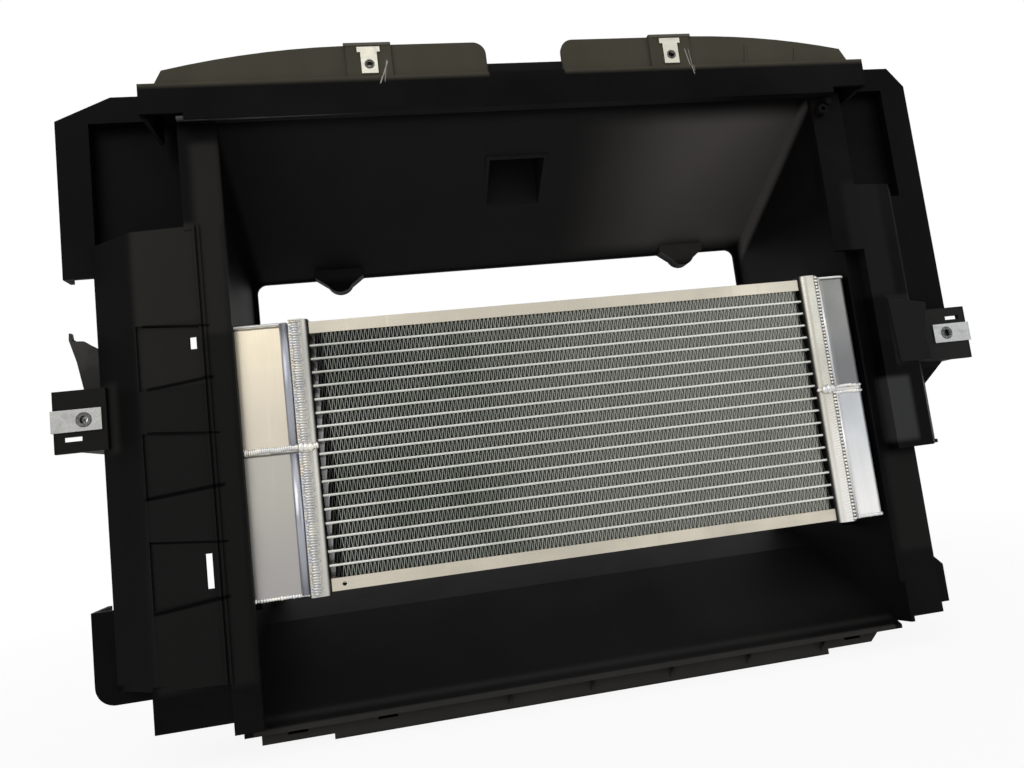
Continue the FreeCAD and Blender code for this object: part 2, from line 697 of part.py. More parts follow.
def make_bungs():
    """Threaded bungs in the tanks' ends."""
    solids = []
    for index, (side, level) in enumerate(four_places()):
        x0, x1 = sided(side, exchanger_half - s.bung_length, exchanger_half)
        place = (s.core_depth / 2, level * s.screw_height)
        outer = prism("bung_%d" % index, "X", [place + (s.bung_radius,)], x0, x1)
        h0, h1 = sided(side, outside - s.screw_reach - s.hole_gap, exchanger_half)
        bore = prism("bung_bore_%d" % index, "X", [place + (s.screw_radius + s.thread_gap,)], h0, h1)
        tapped = DOC.addObject("Part::Cut", "tapped_bung_%d" % index)
        tapped.Base, tapped.Tool = outer, bore
        solids.append(tapped)
    group("tank_bungs", solids)


def make_isolators():
    """Rubber washers between tanks and side walls."""
    solids = []
    for index, (side, level) in enumerate(four_places()):
        x0, x1 = sided(side, exchanger_half, inside)
        place = (s.core_depth / 2, level * s.screw_height)
        loops = [place + (s.isolator_radius,), place + (s.screw_radius + s.hole_gap,)]
        solids.append(prism("isolator_%d" % index, "X", loops, x0, x1))
    group("isolator_washers", solids)


def make_screws():
    """Flanged hexagon screws from the outside of the side walls."""
    solids = []
    for index, (side, level) in enumerate(four_places()):
        y, z = s.core_depth / 2, level * s.screw_height
        x0, x1 = sided(side, outside - s.screw_reach, outside)
        shank = prism("shank_%d" % index, "X", [(y, z, s.screw_radius)], x0, x1)
        x0, x1 = sided(side, outside, outside + s.flange_height)
        flange = prism("flange_%d" % index, "X", [(y, z, s.screw_flange)], x0, x1)
        x0, x1 = sided(side, outside + s.flange_height, outside + s.flange_height + s.hex_height)
        tip = s.screw_hex * (2 / math.sqrt(3))
        hexagon = [at(y + tip, z), at(y + tip / 2, z + s.screw_hex), at(y - tip / 2, z + s.screw_hex),
                   at(y - tip, z), at(y - tip / 2, z - s.screw_hex), at(y + tip / 2, z - s.screw_hex)]
        head = prism("hexagon_%d" % index, "X", [hexagon], x0, x1)
        solids.append(fused("screw_%d" % index, [shank, flange, head]))
    group("mounting_screws", solids)


def make_foam(name, side):
    """Foam strip between a tank's back and the duct's ledge."""
    body = new_body(name)
    strip = rectangle(side * (exchanger_half - s.foam_width), side * exchanger_half, tank_back,
                      tank_back + s.foam_sheet)
    sweep_body(body, name + "_strip", "XY_Plane", -core_half, core_half, [strip])
    finish_node(body, name)


# Duct moulding

def duct_funnel():
    """Side walls, sloping panels, ledges and the frame round the rear opening."""
    reach, wall = s.duct_reach, s.wall
    rear_top, rear_low = core_half + s.air_gap, -(core_half + s.sill_gap)
    panel_top = core_half + s.panel_rise
    floor_top = -(core_half + s.floor_drop)
    band_top = core_half + s.band_high
    parts = []
    for side, hand in ((-1, "left"), (1, "right")):
        x0, x1 = sided(side, inside, outside)
        cheek = [at(-s.strip_front, -(core_half + s.side_foot)), at(reach, floor_line),
                 at(reach, rear_top + s.frame_top), at(s.niche_depth, band_top),
                 at(-s.strip_front, band_top)]
        parts.append(prism("side_wall_" + hand, "X", [cheek], x0, x1))
        x0, x1 = sided(side, outside - s.wall - s.ledge_width, inside)
        ledge = tank_back + s.foam_sheet
        ledge_half = core_half + s.ledge_end
        parts.append(block("ledge_" + hand, x0, x1, ledge, ledge + wall, -ledge_half, ledge_half))
    panel = [at(s.panel_front, panel_top), at(reach, rear_top), at(reach, rear_top + wall),
             at(s.panel_front, panel_top + wall)]
    parts.append(prism("top_panel", "X", [panel], -inside, inside))
    knee, knee_z = s.floor_knee, -(core_half + s.knee_drop)
    floor = [at(s.floor_front, floor_top), at(knee, knee_z), at(reach, rear_low),
             at(reach, rear_low - wall), at(knee, knee_z - wall), at(s.floor_front, floor_top - wall)]
    parts.append(prism("bottom_panel", "X", [floor], -inside, inside))
    border = outside + s.frame_border
    frame_outer = rectangle(-border, border, floor_line, rear_top + s.frame_top)
    edge = inside - s.opening_lip
    frame_hole = rectangle(-edge, edge, rear_low, rear_top, s.opening_corner)
    parts.append(prism("rear_frame", "Y", [frame_outer, frame_hole], reach - wall, reach))
    slope = (rear_top - panel_top) / (reach - s.panel_front)
    crest = rear_top - slope * s.boss_length + wall / 2
    drop = rear_top - s.boss_drop
    for hand, x in (("left", -s.boss_left), ("right", s.boss_right)):
        lobe = [at(x - s.boss_shoulder, rear_top), at(x - s.boss_flank, drop, arc=s.boss_radius),
                at(x + s.boss_flank, drop), at(x + s.boss_shoulder, rear_top),
                at(x + s.boss_shoulder, crest), at(x - s.boss_shoulder, crest)]
        parts.append(prism("boss_" + hand, "Y", [lobe], reach - s.boss_length, reach))
    w0, w1 = -s.window_width / 2, s.window_width / 2
    hood_front = panel_top + slope * (s.window_front - s.panel_front)
    hood_back = panel_top + slope * (s.window_back - s.panel_front)
    hood = [at(s.window_front - wall, hood_front), at(s.window_back + wall, hood_back),
            at(s.window_back + wall, hood_front + s.window_depth),
            at(s.window_front - wall, hood_front + s.window_depth)]
    parts.append(prism("window_hood", "X", [hood], w0 - wall, w1 + wall))
    return parts


def duct_top():
    """Band, lip, flaps with their pads, and the curb between the flaps."""
    wall = s.wall
    low, high = core_half + s.band_low, core_half + s.band_high
    front = -s.band_front
    parts = [
        block("band", -s.band_half, s.band_half, front, front + wall, low, high),
        block("band_roof", -s.band_half, s.band_half, front, s.panel_front + wall, high - wall, high),
        block("band_back", -outside, outside, s.panel_front, s.panel_front + wall,
              core_half + s.panel_rise, high),
        block("band_lip", -s.lip_half, s.lip_half, front, front + s.lip_depth, low - s.lip_height, low),
        block("curb", -s.flap_inner, s.flap_inner, -s.flap_front, wall - s.flap_front, high - wall,
              core_half + s.curb_rise),
    ]
    base = high - wall
    top = core_half + s.flap_rise
    shoulder = core_half + s.shoulder_rise
    for side, hand in ((-1, "left"), (1, "right")):
        flap = [at(side * s.flap_inner, base), at(side * s.flap_inner, top, s.flap_corner),
                at(side * s.flap_crown, top, arc=-side * s.flap_sweep),
                at(side * s.flap_shoulder, shoulder), at(side * s.flap_outer, base)]
        parts.append(prism("flap_" + hand, "Y", [flap], -s.flap_front, wall - s.flap_front))
        x0, x1 = sided(side, s.pad_centre - s.pad_half, s.pad_centre + s.pad_half)
        parts.append(block("pad_" + hand, x0, x1, wall - s.flap_front - s.pad_thick,
                           wall - s.flap_front, base, core_half + s.pad_rise))
        x0, x1 = sided(side, s.band_half - wall, s.band_half)
        parts.append(block("band_end_" + hand, x0, x1, front, s.corner_face, low, high))
    return parts


def skirt(side):
    """Outer edge of a strip's skirt from the side wall."""
    return s.skirt_reach if side < 0 else s.skirt_right


def duct_corner(side, hand):
    """Top corner: the face plate and the deep niche beside the funnel."""
    wall = s.wall
    outer = outside + s.corner_reach
    niche_out = outside + s.niche_reach
    niche_in = outside + s.niche_inset
    sill, roof = core_half + s.niche_rise, core_half + s.band_high
    back = s.niche_depth
    inner = outside + skirt(side) - wall
    foot = core_half + s.corner_drop_left if side < 0 else s.bracket_high
    peak_from = s.peak_left if side < 0 else s.peak_right
    peak = core_half + s.corner_peak
    face = s.corner_face
    plate = [at(side * outer, foot), at(side * outer, core_half + s.corner_rise),
             at(side * (outside + peak_from), peak), at(side * s.band_half, peak),
             at(side * s.band_half, roof - wall), at(side * niche_out, roof - wall),
             at(side * niche_out, sill), at(side * inner, sill), at(side * inner, foot)]
    shelf = strip_skin(side) + [at(side * (outside + skirt(side)), back + wall),
                                at(side * inside, back + wall)]
    low_roof, high_roof = sided(side, inside, s.band_half)
    far_roof = sided(side, s.band_half, niche_out + wall)
    parts = [
        prism("corner_face_" + hand, "Y", [plate], face, face + wall),
        block("corner_side_" + hand, *sided(side, outer - wall, outer), face, face + s.corner_depth,
              foot, core_half + s.corner_rise),
        block("niche_back_" + hand, *sided(side, inside, niche_out + wall), back, back + wall,
              sill - wall, roof),
        block("niche_roof_" + hand, low_roof, high_roof, -s.strip_front, back + wall, roof - wall, roof),
        block("niche_eave_" + hand, *far_roof, face, back + wall, roof - wall, roof),
        prism("niche_sill_" + hand, "Z", [shelf], sill - wall, sill),
        block("niche_side_" + hand, *sided(side, niche_out, niche_out + wall), face, back + wall,
              sill - wall, roof),
        block("niche_post_" + hand, *sided(side, inside, niche_in), -s.strip_front,
              wall - s.strip_front, sill - wall, core_half + s.band_low),
    ]
    return parts


def strip_skin(side):
    """Front of a side strip: flat beside the core, then two slopes to the skirt."""
    front = -s.strip_front
    return [at(side * inside, front), at(side * outside, front),
            at(side * (outside + s.strip_width), front + s.strip_fall),
            at(side * (outside + skirt(side)), s.skirt_front)]


def strip_profile(side):
    """Section of a side strip, open behind."""
    wall = s.wall
    front = -s.strip_front
    knee = outside + s.strip_width
    edge = outside + skirt(side)
    return strip_skin(side) + [
        at(side * edge, s.skirt_back), at(side * (edge - wall), s.skirt_back),
        at(side * (edge - wall), s.skirt_front + wall),
        at(side * knee, front + s.strip_fall + s.strip_sheet + wall / 2),
        at(side * outside, front + s.strip_sheet), at(side * inside, front + s.strip_sheet)]


def ladder_fields():
    """Heights of the sunk fields of the left strip, each with its tilted edges."""
    tilt = s.ladder_tilt / 2
    return (
        (s.line_two - tilt, s.line_two + tilt, s.line_one + tilt, s.line_one - tilt),
        (-s.line_four - tilt, -s.line_four + tilt, s.line_three + tilt, s.line_three - tilt),
        (-s.line_six - tilt, -s.line_six + tilt, -s.line_five + tilt, -s.line_five - tilt),
    )


def duct_strip_left():
    """Left strip with rim and ribs, closed at its foot."""
    foot = -(core_half + s.strip_low)
    sill = core_half + s.niche_rise
    parts = [prism("strip_left", "Z", [strip_profile(-1)], foot, sill)]
    front = -s.strip_front
    rim = outside - s.wall - s.rim_overlap
    top = core_half + s.band_low
    low = -(core_half + s.side_foot)
    parts.append(block("rim_left", -outside, -rim, front, front + s.strip_sheet, low, top))
    for index, x in enumerate((rim, outside - s.rib_width, outside + s.rib_width)):
        parts.append(block("rim_rib_%d" % index, -(x + s.rib_width), -x, front - s.rib_height,
                           front + s.wall, foot, sill))
    parts.append(block("strip_foot", -(outside + s.skirt_reach), -inside, s.skirt_front - s.wall,
                       s.skirt_back, foot, foot + s.wall))
    return parts


def duct_strip_right():
    """Right strip, cut away beside the tank, and the narrower skirt below it."""
    foot = -core_half + s.right_step
    sill = core_half + s.niche_rise
    parts = [prism("strip_right", "Z", [strip_profile(1)], foot, sill)]
    waist = outside + s.right_waist
    low = -(core_half + s.side_foot)
    front = -s.strip_front
    parts.append(block("rim_right", inside - s.rim_right, outside + s.notch_width, front,
                       front + s.strip_sheet, core_half + s.notch_high, core_half + s.band_low))
    parts.append(block("waist_right", inside, waist, s.notch_depth, s.notch_depth + s.wall, low, foot))
    parts.append(block("waist_skirt", waist - s.wall, waist, s.notch_depth, s.skirt_back, low, foot))
    parts.append(block("step_right", inside, outside + skirt(1), s.skirt_front - s.wall,
                       s.skirt_back, foot, foot + s.wall))
    parts.append(block("return_wall", inside, outside + s.notch_width + s.wall, s.notch_depth,
                       s.notch_depth + s.wall, foot, core_half + s.notch_high + s.wall))
    parts.append(block("return_side", outside + s.notch_width, outside + s.notch_width + s.wall,
                       front + s.strip_sheet / 2, s.notch_depth + s.wall, foot,
                       core_half + s.notch_high + s.wall))
    return parts


def duct_brackets():
    """Brackets for the side clip nuts, with the body behind each, and the thin ear."""
    parts = []
    front, back = s.bracket_front, s.bracket_front + s.bracket_sheet
    reach = outside + s.bracket_reach
    for side, hand in ((-1, "left"), (1, "right")):
        root = outside + skirt(side)
        x0, x1 = sided(side, root - 2 * s.wall, reach)
        parts.append(block("bracket_" + hand, x0, x1, front, back, s.bracket_low, s.bracket_high))
        x0, x1 = sided(side, root - s.wall, reach - s.side_clip_length / 2)
        for edge, z in (("foot", s.bracket_low), ("top", s.bracket_high - s.wall)):
            parts.append(block("bracket_%s_%s" % (edge, hand), x0, x1, back - s.wall / 2, s.skirt_back, z,
                               z + s.wall))
    root = outside + skirt(1)
    web = [at(root - s.wall, s.bracket_low - s.bracket_web), at(root + s.bracket_web, s.bracket_low),
           at(root - s.wall, s.bracket_low)]
    parts.append(prism("bracket_web", "Y", [web], back + s.wall, back + 2 * s.wall))
    root = outside + skirt(-1)
    tip = outside + s.fin_ear_reach
    ear = [at(-root, s.bracket_high - s.wall), at(-(tip - s.ear_corner), s.bracket_high - s.wall),
           at(-tip, s.fin_ear_rise), at(-root, s.fin_ear_rise - s.ear_corner)]
    parts.append(prism("thin_ear", "Y", [ear], s.skirt_front + s.wall, s.skirt_front + 2 * s.wall))
    return parts


def hem_slots():
    """Left end and foot of each slot in the hem."""
    z = (floor_line - (core_half + s.floor_drop)) / 2
    starts = (s.hem_slot_left - s.hem_left, s.hem_slot_inner, s.hem_right - s.hem_slot_right - s.hem_slot)
    return [(x, z) for x in starts]


def duct_foot():
    """Lower ears, apron, hem with its pockets, and the gussets up to the bottom panel."""
    wall, bevel = s.wall, s.ear_corner
    ear_top, ear_low = -core_half + s.ear_high, -(core_half + s.ear_low)
    face = s.ear_face
    reach = outside + s.ear_reach
    floor_top = -(core_half + s.floor_drop)
    parts = []
    left_ear = [at(-reach, ear_top), at(-inside, ear_top), at(-inside, ear_low), at(-reach, ear_low, bevel)]
    parts.append(prism("ear_left", "Y", [left_ear], face, face + wall))
    parts.append(block("ear_side_left", -reach, wall - reach, face, s.skirt_back, ear_low + bevel, ear_top))
    reach = outside + s.right_ear_reach
    ear_top, ear_low = -(core_half + s.right_ear_high), -(core_half + s.right_ear_low)
    right_ear = [at(inside, ear_top), at(reach - bevel, ear_top), at(reach, ear_top - bevel),
                 at(reach, ear_low), at(inside, ear_low)]
    parts.append(prism("ear_right", "Y", [right_ear], face, face + wall))
    parts.append(block("ear_side_right", reach - wall, reach, face, s.skirt_back, ear_low, ear_top - bevel))
    apron = outside + s.apron_left
    foot = -(core_half + s.apron_drop)
    strip_foot = -(core_half + s.strip_low)
    parts.append(block("apron_left", -apron, -inside, -wall, 0, foot, strip_foot + wall))
    parts.append(block("apron_side", -apron, wall - apron, -wall, s.skirt_back, foot, strip_foot + wall))
    parts.append(block("apron_foot", -apron, -inside, -wall, s.skirt_back, foot, foot + wall))
    hem = s.hem_front
    end_line = floor_line + s.hem_rise
    hem_skin = [at(-s.hem_left, floor_top), at(-s.hem_left, end_line), at(-s.hem_step, end_line),
                at(-s.hem_step, floor_line), at(s.hem_step, floor_line), at(s.hem_step, end_line),
                at(s.hem_right - s.hem_bevel, end_line), at(s.hem_right, end_line + s.hem_bevel),
                at(s.hem_right, floor_top)]
    parts.append(prism("hem", "Y", [hem_skin], hem, hem + wall))
    for index in range(int(s.hem_ribs.value)):
        x = index * s.hem_rib_step - s.hem_rib_first
        gusset = [at(s.floor_front, floor_top), at(hem + wall, floor_top), at(hem + wall, floor_line + wall),
                  at(hem, floor_line + wall)]
        parts.append(prism("gusset_%d" % index, "X", [gusset], x - s.rib_width, x))
    for index, (x, z) in enumerate(hem_slots()):
        parts.append(block("hem_pocket_%d" % index, x - wall, x + s.hem_slot + wall, hem,
                           hem + s.hem_pocket + wall, z - wall, z + s.hem_slot_width + wall))
    return parts


def duct_cuts():
    """Holes, slots, the window, the notch and the sunk ladder fields."""
    wall = s.wall
    cuts = []
    rear_top = core_half + s.air_gap
    panel_top = core_half + s.panel_rise
    slope = (rear_top - panel_top) / (s.duct_reach - s.panel_front)
    hood_front = panel_top + slope * (s.window_front - s.panel_front)
    hood_back = panel_top + slope * (s.window_back - s.panel_front)
    pocket = [at(s.window_front, hood_front - wall), at(s.window_back, hood_back - wall),
              at(s.window_back, hood_front + s.window_depth - wall),
              at(s.window_front, hood_front + s.window_depth - wall)]
    cuts.append(prism("window_cut", "X", [pocket], -s.window_width / 2, s.window_width / 2))
    for hand, x in (("left", -s.boss_left), ("right", s.boss_right)):
        hole = (x, rear_top + s.boss_lift, s.boss_bore)
        cuts.append(prism("boss_hole_" + hand, "Y", [hole], s.duct_reach - s.boss_length + wall,
                          s.duct_reach + wall))
    for index, (side, level) in enumerate(four_places()):
        x0, x1 = sided(side, inside - wall, outside + wall)
        hole = (s.core_depth / 2, level * s.screw_height, s.screw_radius + s.hole_gap)
        cuts.append(prism("screw_hole_%d" % index, "X", [hole], x0, x1))
    front = -s.strip_front
    flat_in = outside + s.ladder_inset
    flat_out = outside + s.strip_width
    for index, (low_out, low_in, high_out, high_in) in enumerate(ladder_fields()):
        field = [at(-flat_out, low_out), at(-flat_in, low_in), at(-flat_in, high_in),
                 at(-flat_out, high_out)]
        across = [at(-flat_in, front - wall), at(-flat_in, front + s.ladder_sink),
                  at(-flat_out, front + s.strip_fall + s.ladder_sink), at(-flat_out, front - wall)]
        column = prism("ladder_column_%d" % index, "Z", [across], low_out - 2 * s.ladder_tilt,
                       high_out + 2 * s.ladder_tilt)
        plan = prism("ladder_plan_%d" % index, "Y", [field], front - wall, front + 4 * wall)
        sunk = DOC.addObject("Part::MultiCommon", "ladder_field_%d" % index)
        sunk.Shapes = [column, plan]
        cuts.append(sunk)
    slot_x = outside + s.slot_inset
    for name, low, length in (("upper", s.slot_upper, s.slot_upper_length),
                              ("lower", -s.slot_lower, s.slot_lower_length)):
        cuts.append(block("strip_slot_" + name, -(slot_x + s.slot_width), -slot_x, front - wall,
                          front + 5 * wall, low, low + length))
    cuts.append(block("notch", outside - s.wall / 2, outside + s.notch_width, front - wall,
                      s.notch_depth, -(core_half + s.notch_low), core_half + s.notch_high))
    cuts.append(block("notch_front", inside - wall, outside + s.notch_width, front - wall, tank_front,
                      -(core_half + s.notch_low), core_half + s.notch_high))
    for side, hand in ((-1, "left"), (1, "right")):
        edge = outside + s.bracket_reach
        barrel = (side * (edge - s.side_clip_hole_inset), s.side_clip_height, s.clip_barrel + s.barrel_gap)
        cuts.append(prism("bracket_hole_" + hand, "Y", [barrel], s.bracket_front - wall,
                          s.bracket_front + s.bracket_sheet + wall))
        offset = s.side_clip_width / 2 + 2 * s.bracket_slot_width
        z = s.side_clip_height - offset if side < 0 else s.side_clip_height + offset - s.bracket_slot_width
        x0, x1 = sided(side, edge - s.bracket_slot - 2 * wall, edge - 2 * wall)
        cuts.append(block("bracket_slot_" + hand, x0, x1, s.bracket_front - wall,
                          s.bracket_front + s.bracket_sheet + wall, z, z + s.bracket_slot_width))
        hole = (side * s.pad_centre, core_half + s.pad_rise - s.top_clip_hole_drop,
                s.top_clip_barrel + s.barrel_gap)
        cuts.append(prism("pad_hole_" + hand, "Y", [hole], -s.flap_front - s.pad_thick,
                          2 * wall - s.flap_front))
        reach = s.top_clip_head / 2 + s.clip_gap
        x0, x1 = sided(side, s.pad_centre - reach, s.pad_centre + reach)
        seat = clip_seat()
        cuts.append(block("pad_slot_" + hand, x0, x1, -s.flap_front - s.pad_thick,
                          2 * wall - s.flap_front, seat, seat + s.clip_sheet + s.clip_gap))
    for index, (x, z) in enumerate(hem_slots()):
        cuts.append(block("hem_slot_%d" % index, x, x + s.hem_slot, s.hem_front - wall,
                          s.hem_front + s.hem_pocket, z, z + s.hem_slot_width))
    return cuts


def make_duct():
    """The duct, moulded in one piece."""
    parts = duct_funnel() + duct_top() + duct_strip_left() + duct_strip_right()
    for side, hand in ((-1, "left"), (1, "right")):
        parts += duct_corner(side, hand)
    parts += duct_brackets() + duct_foot()
    shell = DOC.addObject("Part::Cut", "duct_shell")
    shell.Base = fused("duct_walls", parts)
    shell.Tool = fused("duct_cutters", duct_cuts())
    shell.Refine = True
    finish_node(shell, "duct_shell")


# Clip nuts

def clip_seat():
    """Height at which a top clip nut's bend rests in its pad's slot."""
    return core_half + s.pad_rise - s.top_clip_seat


def make_side_clip(name, side):
    """Spring steel clip pushed over a bracket's outer edge, with a threaded barrel."""
    body = new_body(name)
    thick = s.clip_sheet
    edge = outside + s.bracket_reach
    inner = edge - s.side_clip_length
    front, back = s.bracket_front, s.bracket_front + s.bracket_sheet
    bend = [at(side * inner, front - thick), at(side * (edge + thick), front - thick),
            at(side * (edge + thick), back + thick), at(side * inner, back + thick),
            at(side * inner, back), at(side * edge, back), at(side * edge, front),
            at(side * inner, front)]
    half = s.side_clip_width / 2
    middle = s.side_clip_height
    sweep_body(body, name + "_bend", "XY_Plane", middle - half, middle + half, [bend])
    x = side * (edge - s.side_clip_hole_inset)
    sweep_body(body, name + "_barrel", "XZ_Plane", back + thick / 2, back + thick + s.clip_barrel_length,
               [(x, middle, s.clip_barrel)])
    sweep_body(body, name + "_thread", "XZ_Plane", front - 2 * thick,
               back + 2 * thick + s.clip_barrel_length, [(x, middle, s.clip_hole)], "PartDesign::Pocket")
    finish_node(body, name)


def make_top_clip(name, side):
    """Spring steel clip hung through the slot of a flap's pad, with a wider folded head."""
    body = new_body(name)
    thick = s.clip_sheet
    back = s.wall - s.flap_front
    front = back - s.pad_thick
    top = clip_seat()
    low = top - s.top_clip_length
    head = top - s.top_clip_head_height
    x = side * s.pad_centre
    half, wide = s.top_clip_width / 2, s.top_clip_head / 2
    bend = [at(front - thick, low), at(front, low), at(front, top), at(back, top), at(back, low),
            at(back + thick, low), at(back + thick, top + thick), at(front - thick, top + thick)]
    sweep_body(body, name + "_bend", "YZ_Plane", x - half, x + half, [bend])
    fold = [at(front - thick, head), at(front, head), at(front, top), at(back, top), at(back, head),
            at(back + thick, head), at(back + thick, top + thick), at(front - thick, top + thick)]
    sweep_body(body, name + "_head", "YZ_Plane", x - wide, x + wide, [fold])
    height = core_half + s.pad_rise - s.top_clip_hole_drop
    sweep_body(body, name + "_barrel", "XZ_Plane", back + thick / 2, back + thick + s.clip_barrel_length,
               [(x, height, s.top_clip_barrel)])
    sweep_body(body, name + "_thread", "XZ_Plane", front - 2 * thick,
               back + 2 * thick + s.clip_barrel_length, [(x, height, s.top_clip_hole)],
               "PartDesign::Pocket")
    finish_node(body, name)


def check_and_write():
    """Stop at any failed object or bad shape, then write one STEP file for each sub-part."""
    DOC.recompute()
    failed = [o.Name for o in DOC.Objects if "Invalid" in o.State or "Error" in o.State]
    if failed:
        raise RuntimeError("objects that failed: " + ", ".join(failed))
    for node in NODES:
        if node.Shape.isNull() or not node.Shape.isValid():
            raise RuntimeError("bad shape: " + node.Label)
    os.makedirs("parts", exist_ok=True)
    for node in NODES:
        node.Shape.exportStep(os.path.join("parts", node.Label + ".step"))


for tube_number in range(tubes):
    make_tube(tube_number)
make_fins()
make_side_plate("side_plate_top", 1)
make_side_plate("side_plate_bottom", -1)
make_header("header_left", -1)
make_header("header_right", 1)
for tank_side, tank_hand in ((-1, "left"), (1, "right")):
    make_half_tank("tank_%s_upper" % tank_hand, tank_side, 1)
    make_half_tank("tank_%s_lower" % tank_hand, tank_side, -1)
    make_baffle("baffle_" + tank_hand, tank_side)
    make_foam("foam_seal_" + tank_hand, tank_side)
    make_side_clip("side_clip_nut_" + tank_hand, tank_side)
    make_top_clip("top_clip_nut_" + tank_hand, tank_side)
make_neck("neck_upper", 1)
make_neck("neck_lower", -1)
make_bungs()
make_isolators()
make_screws()
make_duct()
check_and_write()
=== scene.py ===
"""Looks, light and camera for a heat exchanger that sits in its moulded air duct."""

import json
import logging
import math
from dataclasses import dataclass, field
from enum import Enum
from typing import Any, Sequence

import bmesh
import bpy
from mathutils import Matrix, Vector

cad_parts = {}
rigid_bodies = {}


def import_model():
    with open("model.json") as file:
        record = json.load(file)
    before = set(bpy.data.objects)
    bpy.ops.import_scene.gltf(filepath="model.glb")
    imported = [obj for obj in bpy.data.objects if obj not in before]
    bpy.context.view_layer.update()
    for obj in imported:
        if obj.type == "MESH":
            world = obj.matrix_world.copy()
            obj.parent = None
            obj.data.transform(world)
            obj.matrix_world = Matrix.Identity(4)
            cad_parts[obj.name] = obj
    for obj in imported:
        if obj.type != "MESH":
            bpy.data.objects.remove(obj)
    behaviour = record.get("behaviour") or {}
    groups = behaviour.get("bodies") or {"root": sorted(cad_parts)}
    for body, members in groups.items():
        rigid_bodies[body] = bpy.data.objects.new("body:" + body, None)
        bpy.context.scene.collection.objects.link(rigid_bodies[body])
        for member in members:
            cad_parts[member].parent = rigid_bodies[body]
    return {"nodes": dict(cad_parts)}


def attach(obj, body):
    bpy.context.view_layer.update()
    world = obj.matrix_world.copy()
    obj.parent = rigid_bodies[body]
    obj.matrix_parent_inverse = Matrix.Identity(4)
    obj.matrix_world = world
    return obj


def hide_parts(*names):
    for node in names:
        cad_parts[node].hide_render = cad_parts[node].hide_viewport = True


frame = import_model()

LOG = logging.getLogger("heat_exchanger")
MM = 0.001
CORE_FRONT = -82.0
CORE_MIDDLE = 203.0
ROOT = "root"
TURN_STEPS = 40
MERGE = 0.002
FLAT_DEGREES = 0.5
SHARP_DEGREES = 30.0
ROUNDING_STEPS = 2

Colour = tuple[float, float, float]
Point = tuple[float, float, float]
Corner = tuple[float, float]


class Side(Enum):
    """The two ends of the exchanger, seen from the front."""

    LEFT = -1
    RIGHT = 1


class Half(Enum):
    """The two halves of a tank."""

    UPPER = 1
    LOWER = -1


def place(x: float, y: float, z: float) -> Vector:
    """Turn millimetres from the core's front middle into the row's metres.

    Args:
        x: Distance to the right of the duct's middle plane.
        y: Distance behind the core's front face.
        z: Height above the core's middle.

    Returns:
        The point in the row frame.
    """
    return Vector((x, y + CORE_FRONT, z + CORE_MIDDLE)) * MM


def at_x(x: float) -> float:
    """Turn a distance to the right into the row's metres."""
    return place(x, 0, 0).x


def at_y(y: float) -> float:
    """Turn a depth behind the core's front into the row's metres."""
    return place(0, y, 0).y


def at_z(z: float) -> float:
    """Turn a height above the core's middle into the row's metres."""
    return place(0, 0, z).z


# Node trees


class Value:
    """A node socket that takes part in Python expressions."""

    def __init__(self, maker: "Maker", socket: bpy.types.NodeSocket) -> None:
        """Wrap a socket.

        Args:
            maker: The tree that the socket belongs to.
            socket: The output socket.
        """
        self.maker = maker
        self.socket = socket

    def _math(self, operation: str, *terms: Any) -> "Value":
        """Add one Math node on the given terms."""
        return self.maker.node("ShaderNodeMath", {"operation": operation}, dict(enumerate(terms)))

    def __add__(self, other: Any) -> "Value":
        """Add."""
        return self._math("ADD", self, other)

    __radd__ = __add__

    def __sub__(self, other: Any) -> "Value":
        """Subtract."""
        return self._math("SUBTRACT", self, other)

    def __rsub__(self, other: Any) -> "Value":
        """Subtract from a number."""
        return self._math("SUBTRACT", other, self)

    def __mul__(self, other: Any) -> "Value":
        """Multiply."""
        return self._math("MULTIPLY", self, other)

    __rmul__ = __mul__

    def __truediv__(self, other: Any) -> "Value":
        """Divide."""
        return self._math("DIVIDE", self, other)

    def absolute(self) -> "Value":
        """Drop the sign."""
        return self._math("ABSOLUTE", self)

    def sine(self) -> "Value":
        """Take the sine."""
        return self._math("SINE", self)

    def greater(self, other: Any) -> "Value":
        """Take the larger of two values."""
        return self._math("MAXIMUM", self, other)

    def lesser(self, other: Any) -> "Value":
        """Take the smaller of two values."""
        return self._math("MINIMUM", self, other)

    def ramp(self, low: float, high: float) -> "Value":
        """Rise smoothly from 0 at low to 1 at high, or fall where low lies above high."""
        sockets = {"Value": self, "From Min": low, "From Max": high}
        return self.maker.node("ShaderNodeMapRange", {"interpolation_type": "SMOOTHSTEP"}, sockets)


class Maker:
    """Adds nodes to a tree."""

    def __init__(self, tree: bpy.types.NodeTree) -> None:
        """Start on a tree.

        Args:
            tree: The tree that gets the nodes.
        """
        self.tree = tree

    def node(self, kind: str, settings: dict[str, Any] | None = None,
             sockets: dict[Any, Any] | None = None, out: Any = 0) -> Value:
        """Add a node.

        Args:
            kind: The node's type.
            settings: Properties of the node, set before its sockets.
            sockets: Values or links of its input sockets, by name or number.
            out: The output socket's name or number.

        Returns:
            The output socket as a value.
        """
        node = self.tree.nodes.new(kind)
        for name, setting in (settings or {}).items():
            setattr(node, name, setting)
        for key, value in (sockets or {}).items():
            if isinstance(value, Value):
                self.tree.links.new(value.socket, node.inputs[key])
            else:
                node.inputs[key].default_value = value
        return Value(self, node.outputs[out])


